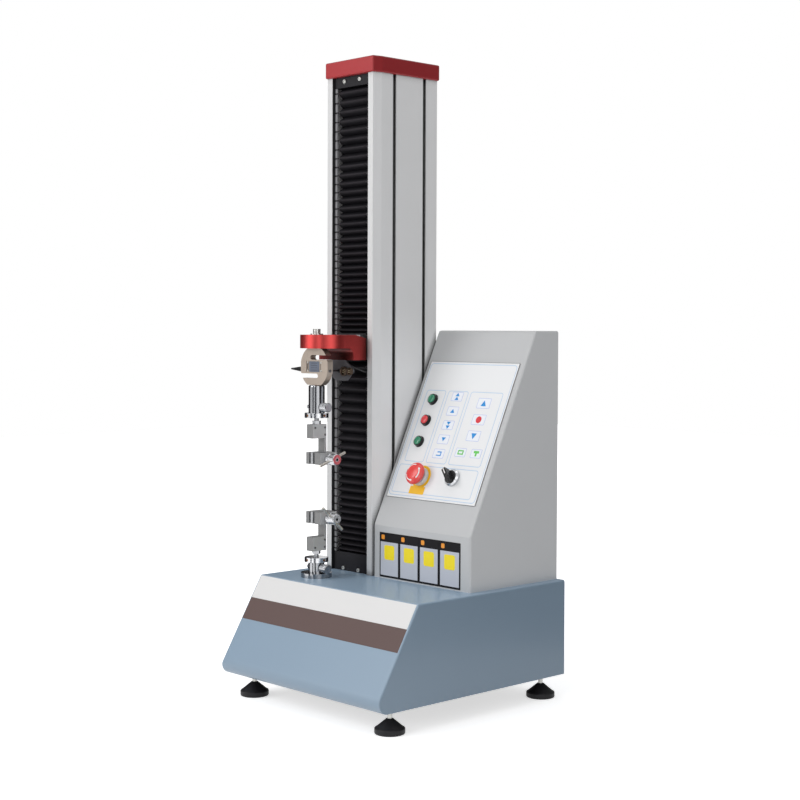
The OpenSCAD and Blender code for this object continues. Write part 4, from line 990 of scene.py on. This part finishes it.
def add_panel_prints():
    boxes = [(-38.5, 57.5, 169.5, 308.5, 7), (-27, 121, 21, 257, 5), (26.5, 121, 75.5, 257, 5),
             (81, 121, 157, 257, 5), (-34, 63, 157, 115.5, 5)]
    lines = [band(BOX_SLOPE, rounded(*box), 1.3, FILM - 0.1, FILM + 0.12) for box in boxes]
    piece("panel_frames", join(*lines), ink_pale, "frame_body")
    edge = band(BOX_SLOPE, rounded(-41.6, 53.4, 172.6, 312.6, 1.2, 3), 0.8, 0, FILM + 0.15)
    piece("panel_rim", edge, film_edge, "frame_body")
    keys = [(51.3, a, 26, 17) for a in (246.3, 219, 192.7, 166, 139.5)]
    keys += [(119, a, 30, 19) for a in (236.3, 206.1, 176.1)] + [(101.7, 145, 24, 16), (137.9, 145, 24, 16)]
    rims, fields = [], []
    for x, a, w, h in keys:
        outline = rounded(x - w / 2, a - h / 2, x + w / 2, a + h / 2, 1.6)
        rims.append(band(BOX_SLOPE, outline, 0.8, FILM - 0.1, FILM + 0.22))
        fields.append(slab(BOX_SLOPE, shrunk(outline, 0.75), FILM - 0.1, FILM + 0.16, 0.05))
    piece("key_rims", join(*rims), ink_lilac, "frame_body")
    piece("key_fields", join(*fields), film_key, "frame_body")

    def mark(outline):
        return slab(BOX_SLOPE, outline, FILM, FILM + 0.3, 0.05)

    blue = [arrow(51.3, 250.2, 9.5, 6.5), arrow(51.3, 243.2, 9.5, 6.5), arrow(51.3, 219.4, 10, 7.5),
            arrow(51.3, 195.8, 9.5, 6.5, False), arrow(51.3, 188.8, 9.5, 6.5, False),
            arrow(51.3, 166, 10, 7.5, False), arrow(119, 236.6, 12.5, 11), arrow(119, 175.6, 12.5, 11, False)]
    hook = [(46, 135.2), (57.5, 135.2), (57.5, 143.6), (47.5, 143.6), (47.5, 141.6), (55.3, 141.6),
            (55.3, 137.2), (46, 137.2)]
    piece("marks_blue", join(*[mark(outline) for outline in blue + [hook]]), ink_blue, "frame_body")
    piece("mark_red", mark(circle(119, 206.1, 6.3)), ink_red, "frame_body")
    ring = band(BOX_SLOPE, rounded(95.2, 141, 108.2, 149.2, 0.5, 2), 2.2, FILM, FILM + 0.3)
    bar = mark([(136, 140.2), (139.8, 140.2), (139.8, 145.6), (144, 145.6), (144, 149.8), (131.8, 149.8),
                (131.8, 145.6), (136, 145.6)])
    piece("marks_green", join(ring, bar), ink_green, "frame_body")
    print("keys", len(keys))


add_panel_prints()

# %% [markdown]
# A pilot lamp is a domed lens of clear coloured plastic in a flat round nut. Both are round, so each is a
# profile of radius and height, turned about the slope's outward direction. A sphere that is cut and scaled
# would be quicker, but its rim would lack the straight skirt that shows in the photograph.

# %% Lamp caps and rims
LAMP_X = -4.5
LAMPS = ((238.5, "green", lens_green), (198.5, "red", lens_red), (158.5, "green", lens_green))


def add_lamp_caps():
    dome = [(7.75, 6.3), (7.75, 7.0), (7.4, 7.9), (6.2, 8.65), (4.2, 9.15), (2, 9.4), (0, 9.45)]
    rim = [(9.2, 0.9), (10.4, 0.9), (10.4, 1.6), (9.8, 2.1), (9.2, 2.1)]
    for i, (a, kind, lens) in enumerate(LAMPS):
        piece(f"lamp_cap_{i + 1}_{kind}", lathe(BOX_SLOPE, LAMP_X, a, dome), lens, "frame_body", 60)
        nut = lathe(BOX_SLOPE, LAMP_X, a, rim + rim[:1])
        piece(f"lamp_nut_{i + 1}", nut, black_plastic, "frame_body")
    print("lamp caps", len(LAMPS))


add_lamp_caps()

# %% [markdown]
# The stop button's dome carries three printed arrows that show which way to twist it, and a yellow legend
# plate lies around its collar. A decal would be projected onto the dome. These strips follow the dome's
# profile instead, so they stay crisp, and they ride on the head, so they turn with it. The selector has one
# white line, which rides on its knob.

# %% Stop button and selector
STOP, SELECTOR = (29, 94.5), (103, 98)
DOME = ((0, 11.4), (3.95, 11.3), (7.9, 10.9), (11.85, 10.2), (15.25, 8.5), (18.15, 6.6), (19.45, 4.6))
DOME_FOOT = 15.3
ARROW_STEPS, HEAD_FROM = 24, 0.8


def head_height(r):
    """How far the stop button's dome stands out at a distance from its middle."""
    for (r0, h0), (r1, h1) in zip(DOME, DOME[1:]):
        if r <= r1:
            return DOME_FOOT + h0 + (h1 - h0) * (r - r0) / (r1 - r0)
    return DOME_FOOT + DOME[-1][1]


def curved_arrow(start, end, inner, outer):
    """A printed arc on the dome, from one angle to another in degrees, with a pointed end."""
    middle = (inner + outer) / 2
    rows = []
    for i in range(ARROW_STEPS + 1):
        f = i / ARROW_STEPS
        angle = math.radians(start + (end - start) * f)
        spread = (outer - inner) / 2
        if f > HEAD_FROM:
            spread *= 2.4 * (1 - (f - HEAD_FROM) / (1 - HEAD_FROM)) + 0.05
        rows.append([(r, angle) for r in (middle - spread, middle, middle + spread)])
    verts, faces = [], []
    for lift in (0.22, -0.1):
        for r, angle in [place for row in rows for place in row]:
            x, y = STOP[0] + r * math.cos(angle), STOP[1] + r * math.sin(angle)
            verts.append(spot(BOX_SLOPE, x, y, head_height(r) + lift))
    n = len(rows) * 3
    for i in range(ARROW_STEPS):
        for j in range(2):
            a = i * 3 + j
            faces += [(a, a + 3, a + 4, a + 1), (a + n, a + 1 + n, a + 4 + n, a + 3 + n)]
        for j in (0, 2):
            a = i * 3 + j
            faces.append((a, a + 3, a + 3 + n, a + n))
    for a in (0, ARROW_STEPS * 3):
        faces += [(a, a + 1, a + 1 + n, a + n), (a + 1, a + 2, a + 2 + n, a + 1 + n)]
    return verts, faces


def add_stop_and_selector():
    x, a = STOP
    arcs = [curved_arrow(start, start + 84, 13.4, 15.2) for start in (-160, -40, 80)]
    piece("stop_arrows", join(*arcs), ink_white, "stop_head", 60)
    ring = [(16.05, 1.0), (21.0, 1.0), (21.0, 1.35), (20.6, 1.6), (16.05, 1.6)]
    tab = slab(BOX_SLOPE, rounded(x - 19, a - 31.5, x + 16.5, a - 17.5, 1.2, 3), 0.9, 1.5, 0.1)
    piece("stop_legend", join(lathe(BOX_SLOPE, x, a, ring + ring[:1]), tab), film_yellow, "frame_body")
    nut = [(16.05, 2.6), (16.5, 2.6), (16.5, 4.2), (16.05, 4.2)]
    piece("stop_collar_nut", lathe(BOX_SLOPE, x, a, nut + nut[:1]), stop_grey, "frame_body")
    turn = math.radians(135)
    along, across = Vector((math.cos(turn), math.sin(turn))), Vector((-math.sin(turn), math.cos(turn)))
    corners = ((2, -0.8), (13.2, -0.8), (13.2, 0.8), (2, 0.8))
    line = [tuple(Vector(SELECTOR) + along * u + across * v) for u, v in corners]
    piece("selector_line", slab(BOX_SLOPE, line, 20.9, 21.25, 0.05), ink_white, "selector")
    print("stop arrows", len(arcs))


add_stop_and_selector()

# %% [markdown]
# ## Load cell, cable and grips
# The load cell is the silver block with slots that the upper grip hangs from. Its strain gauges sit under a
# cover in its front pocket, with four tiny screws. Only what the pocket's mouth shows is made: the cover, the
# screws, and thin dark lines for the wires and the gauge's grid. A plug closes the hole in its side.

# %% Load cell details
CELL_Y, CELL_Z = LOAD_Y - 6, 568.75


def add_load_cell_details():
    front = facing("-y", (COL_X, CELL_Y, CELL_Z))
    cover = slab(front, rounded(-14, -9.2, 13, 9.2, 1.2, 4), -1.2, -0.35, 0.25)
    piece("gauge_cover", cover, gauge_cover, "crosshead")
    marks = [slab(front, rounded(x - 0.45, -8, x + 0.45, 8, 0.2, 2), -1.1, -0.6, 0.1)
             for x in (-19, -16.8, 16.4)]
    marks += [slab(front, rounded(-9, z - 0.3, 8, z + 0.3, 0.2, 2), -0.4, -0.25, 0.05)
              for z in (-6, -2, 2, 6)]
    piece("gauge_marks", join(*marks), ink_dark, "crosshead")
    heads = [screw(front, x, z, 1.7, 0.3, 0.7, base=-1.1) for x in (-17.9, 17.9) for z in (-7.2, 7.2)]
    piece("gauge_screws", join(*heads), zinc, "crosshead")
    side = facing("+x", (COL_X + 35.5, LOAD_Y, CELL_Z))
    piece("cell_side_plug", screw(side, 0, -7, 2.6, 0.5, 1.3), dark_steel, "crosshead")
    print("gauge marks", len(marks), "screws", len(heads))


add_load_cell_details()


# %% [markdown]
# The cell's cable leaves through a ribbed strain relief, turns back in a half circle and ends in the
# bracket's grommet. A second run goes from under the arm to the connectors' rear. A simulated cord would hang
# as it likes, but both runs are short and held at their ends, so they are rods swept along chosen points,
# with a smooth line drawn through them.

# %% Cable
BRACKET = (COL_X, -33.1, 580)
CABLE_R, BEND_R = 1.5, 8


def smoothed(points, steps=5):
    """A smooth line through the points."""
    points = [Vector(p) for p in points]
    made = []
    for i in range(len(points) - 1):
        before, here = points[max(i - 1, 0)], points[i]
        ahead, after = points[i + 1], points[min(i + 2, len(points) - 1)]
        for k in range(steps):
            t = k / steps
            curve = 2 * here + (ahead - before) * t
            curve += (2 * before - 5 * here + 4 * ahead - after) * t * t
            curve += (3 * here - before - 3 * ahead + after) * t * t * t
            made.append(0.5 * curve)
    return made + [points[-1]]


def length_of(points):
    return round(sum((b - a).length for a, b in zip(points, points[1:])))


def add_cable():
    exit_x, y, z = COL_X - 35.5, LOAD_Y, CELL_Z - 5
    relief = [(exit_x + 0.2, 5.4), (exit_x - 3.2, 5.4), (exit_x - 3.6, 4.9)]
    for i in range(8):
        x = exit_x - 4.2 - i * 3
        wide = 4.7 - i * 0.36
        relief += [(x, wide), (x - 1.7, wide - 0.2), (x - 1.9, wide - 0.9), (x - 2.7, wide - 1.0)]
    relief.append((exit_x - 29.4, 1.9))
    ribs = sweep([(x, y, z) for x, r in relief], 1, 28, [r for x, r in relief])
    tip = Vector((exit_x - 29.4, y, z))
    half_turn = [math.pi * k / 16 for k in range(17)]
    lead = [tip + Vector((4, 0, 0))]
    lead += [tip + BEND_R * Vector((-math.sin(t), 1 - math.cos(t), 0)) for t in half_turn]
    lead += [Vector(BRACKET) + Vector(p) for p in (
        (-30, -21, -17), (-8, -8, -19), (6.3, -4.2, -19.5), (8, -1.5, -19.5), (8, 4.5, -19.5))]
    strand = [Vector(BRACKET) + Vector(p) for p in (
        (20.2, 6.2, 0), (20.2, 6.2, -5), (22.2, 11.1, -8.4), (37.8, 31.6, -20.2), (40.4, 38, -21),
        (40.4, 49, -20.8), (38.4, 56.5, -13), (36, 59, -1), (33.5, 59, 3), (30, 59, 3))]
    lead, strand = smoothed(lead), smoothed(strand)
    cable = piece("cell_lead", join(ribs, sweep(lead, CABLE_R), sweep(strand, CABLE_R)), cable_rubber,
                  "crosshead", 50)
    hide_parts("cell_cable")
    print("cable runs of", length_of(lead), "and", length_of(strand), "mm")


add_cable()

# %% [markdown]
# Two round connectors stand in the bracket beside the cell: a dark ring around a circle of brass pins. Their
# bodies are solids already. What is added here is small and seen only from the front, so it is turned from
# short profiles, and the pins have few sides.

# %% Connectors
ROW_Z = -19.5


def add_connectors():
    front = facing("-y", BRACKET)
    rings, pins = [], []
    for x, r in ((23.5, 8.25), (39, 6.75)):
        sleeve = [(r - 2.4, 1.2), (r - 2.4, 4.2), (r - 1.9, 4.9), (r - 0.6, 4.9), (r - 0.1, 4.4),
                  (r + 0.15, 3.6), (r + 0.15, 1.4), (r - 0.1, 0.6), (r - 0.1, -0.1)]
        rings.append(lathe(front, x, ROW_Z, sleeve))
        for k in range(5):
            t = math.tau * k / 5
            pin_x, pin_z = x + r * 0.36 * math.cos(t), ROW_Z + r * 0.36 * math.sin(t)
            pins.append(lathe(front, pin_x, pin_z, [(0.7, 0.9), (0.7, 3.0), (0.45, 3.5), (0, 3.6)], 12))
    piece("connector_rings", join(*rings), dark_bronze, "crosshead")
    piece("connector_pins", join(*pins), brass, "crosshead")
    rim = [(2.1, -0.2), (3.2, -0.2), (3.2, 0.9), (2.6, 1.4), (2.1, 1.4)]
    piece("bracket_grommet", lathe(front, 8, ROW_Z, rim + rim[:1]), cable_rubber, "crosshead")
    print("connectors", len(rings), "pins", len(pins))


add_connectors()

# %% [markdown]
# The grips are two of a kind, turned end to end, so one function dresses both, and a height is measured from
# the grip's end with a sign for up or down. Jaw faces have fine teeth that bite the sample, the knob has a
# coloured ring and fine lines, the cross pin has beads for the fingers, and the lock ring has holes for a
# spanner. Teeth could be a bump in the finish, but their shadows show when the jaws stand apart.

# %% Grip details
BLOCK, JAW, AXIS = 19.3, 67.8, 78.05
TEETH, PITCH_OF_TEETH = 16, 1.15


def add_grip_details(name, end, up, body, ring_finish):
    def z(height):
        return end + up * height

    def teeth(axis, side, y0, y1):
        at = facing(axis, (COL_X + side * 2.4, 0, 0))
        made = []
        for i in range(TEETH):
            height = z(JAW + 1.6 + i * PITCH_OF_TEETH)
            outline = rounded(y0, height - 0.32, y1, height + 0.32, 0.15, 2)
            made.append(slab(at, outline, -0.05, 0.16, 0.12))
        return join(*made)

    right, left = facing("+x", (COL_X + 8.5, LOAD_Y, 0)), facing("-x", (COL_X - 8.5, LOAD_Y, 0))
    low_screw, high_screw = z(BLOCK + 6), z(BLOCK + 18.5)
    places = ((-10, low_screw), (12, low_screw), (12, high_screw))
    heads = [screw(right, y, height, 1.9, 0.5, 0.9) for y, height in places]
    piece(name + "_block_screws", join(*heads), dark_steel, body)
    knob = [(3.4, -0.2), (3.4, 1.2), (2.8, 2.0), (2.8, 4.4), (2.3, 5.0), (0, 5.1)]
    piece(name + "_block_knob", lathe(left, 8, low_screw, knob, 28), satin_chrome, body)
    fixed = teeth("+x", -1, LOAD_Y - 14.6, LOAD_Y + 9.2)
    piece(name + "_fixed_teeth", fixed, jaw_steel, body)
    moving = teeth("-x", 1, -LOAD_Y - 9.2, -LOAD_Y + 14.6)
    piece(name + "_moving_teeth", moving, jaw_steel, name + "_jaw")
    nose = facing("+x", (COL_X + 54.6, LOAD_Y, z(AXIS)))
    ring = [(3.6, -0.15), (3.6, 0.25), (4.0, 0.4), (8.3, 0.4), (8.6, 0.2), (8.6, -0.15)]
    piece(name + "_knob_ring", lathe(nose, 0, 0, ring + ring[:1]), ring_finish, name + "_clamp")
    lines = []
    for at in (-16.5, -15.0, -13.5):
        groove = [(9.72, at), (9.95, at + 0.3), (9.95, at + 0.9), (9.72, at + 1.2)]
        lines.append(lathe(nose, 0, 0, groove + groove[:1]))
    piece(name + "_knob_lines", join(*lines), satin_chrome, name + "_clamp")
    pin = facing("+x", (COL_X + 14.3, LOAD_Y, z(-10.3)))
    ridges = []
    for i in range(9):
        at = 2.2 + i * 1.6
        bead = [(7.6, at), (7.95, at + 0.3), (7.95, at + 0.8), (7.6, at + 1.1)]
        ridges.append(lathe(pin, 0, 0, bead + bead[:1], 36))
    piece(name + "_pin_beads", join(*ridges), satin_chrome, name + "_cross_pin")
    dots = []
    for k in range(4):
        turn = math.tau * k / 4
        out = Vector((math.cos(turn), math.sin(turn), 0))
        side = Vector((-math.sin(turn), math.cos(turn), 0))
        at = (Vector((COL_X, LOAD_Y, z(4))) + out * 20.75, side, Vector((0, 0, 1)), out)
        dots.append(lathe(at, 0, 0, [(2.0, -0.4), (2.25, 0.1), (1.95, 0.18), (1.5, -0.6), (0, -1.2)], 24))
    piece(name + "_ring_holes", join(*dots), bronze, name + "_ring")
    print(name, "grip:", 2 * TEETH, "teeth,", len(heads), "screws,", len(ridges), "beads")


add_grip_details("upper", 488.3, -1, "crosshead", ring_red)
add_grip_details("lower", 229.5, 1, "frame_body", ring_silver)

# %% [markdown]
# ## Finish
# The last cell brings the scene up to date.

# %% Update the scene
bpy.context.view_layer.update()
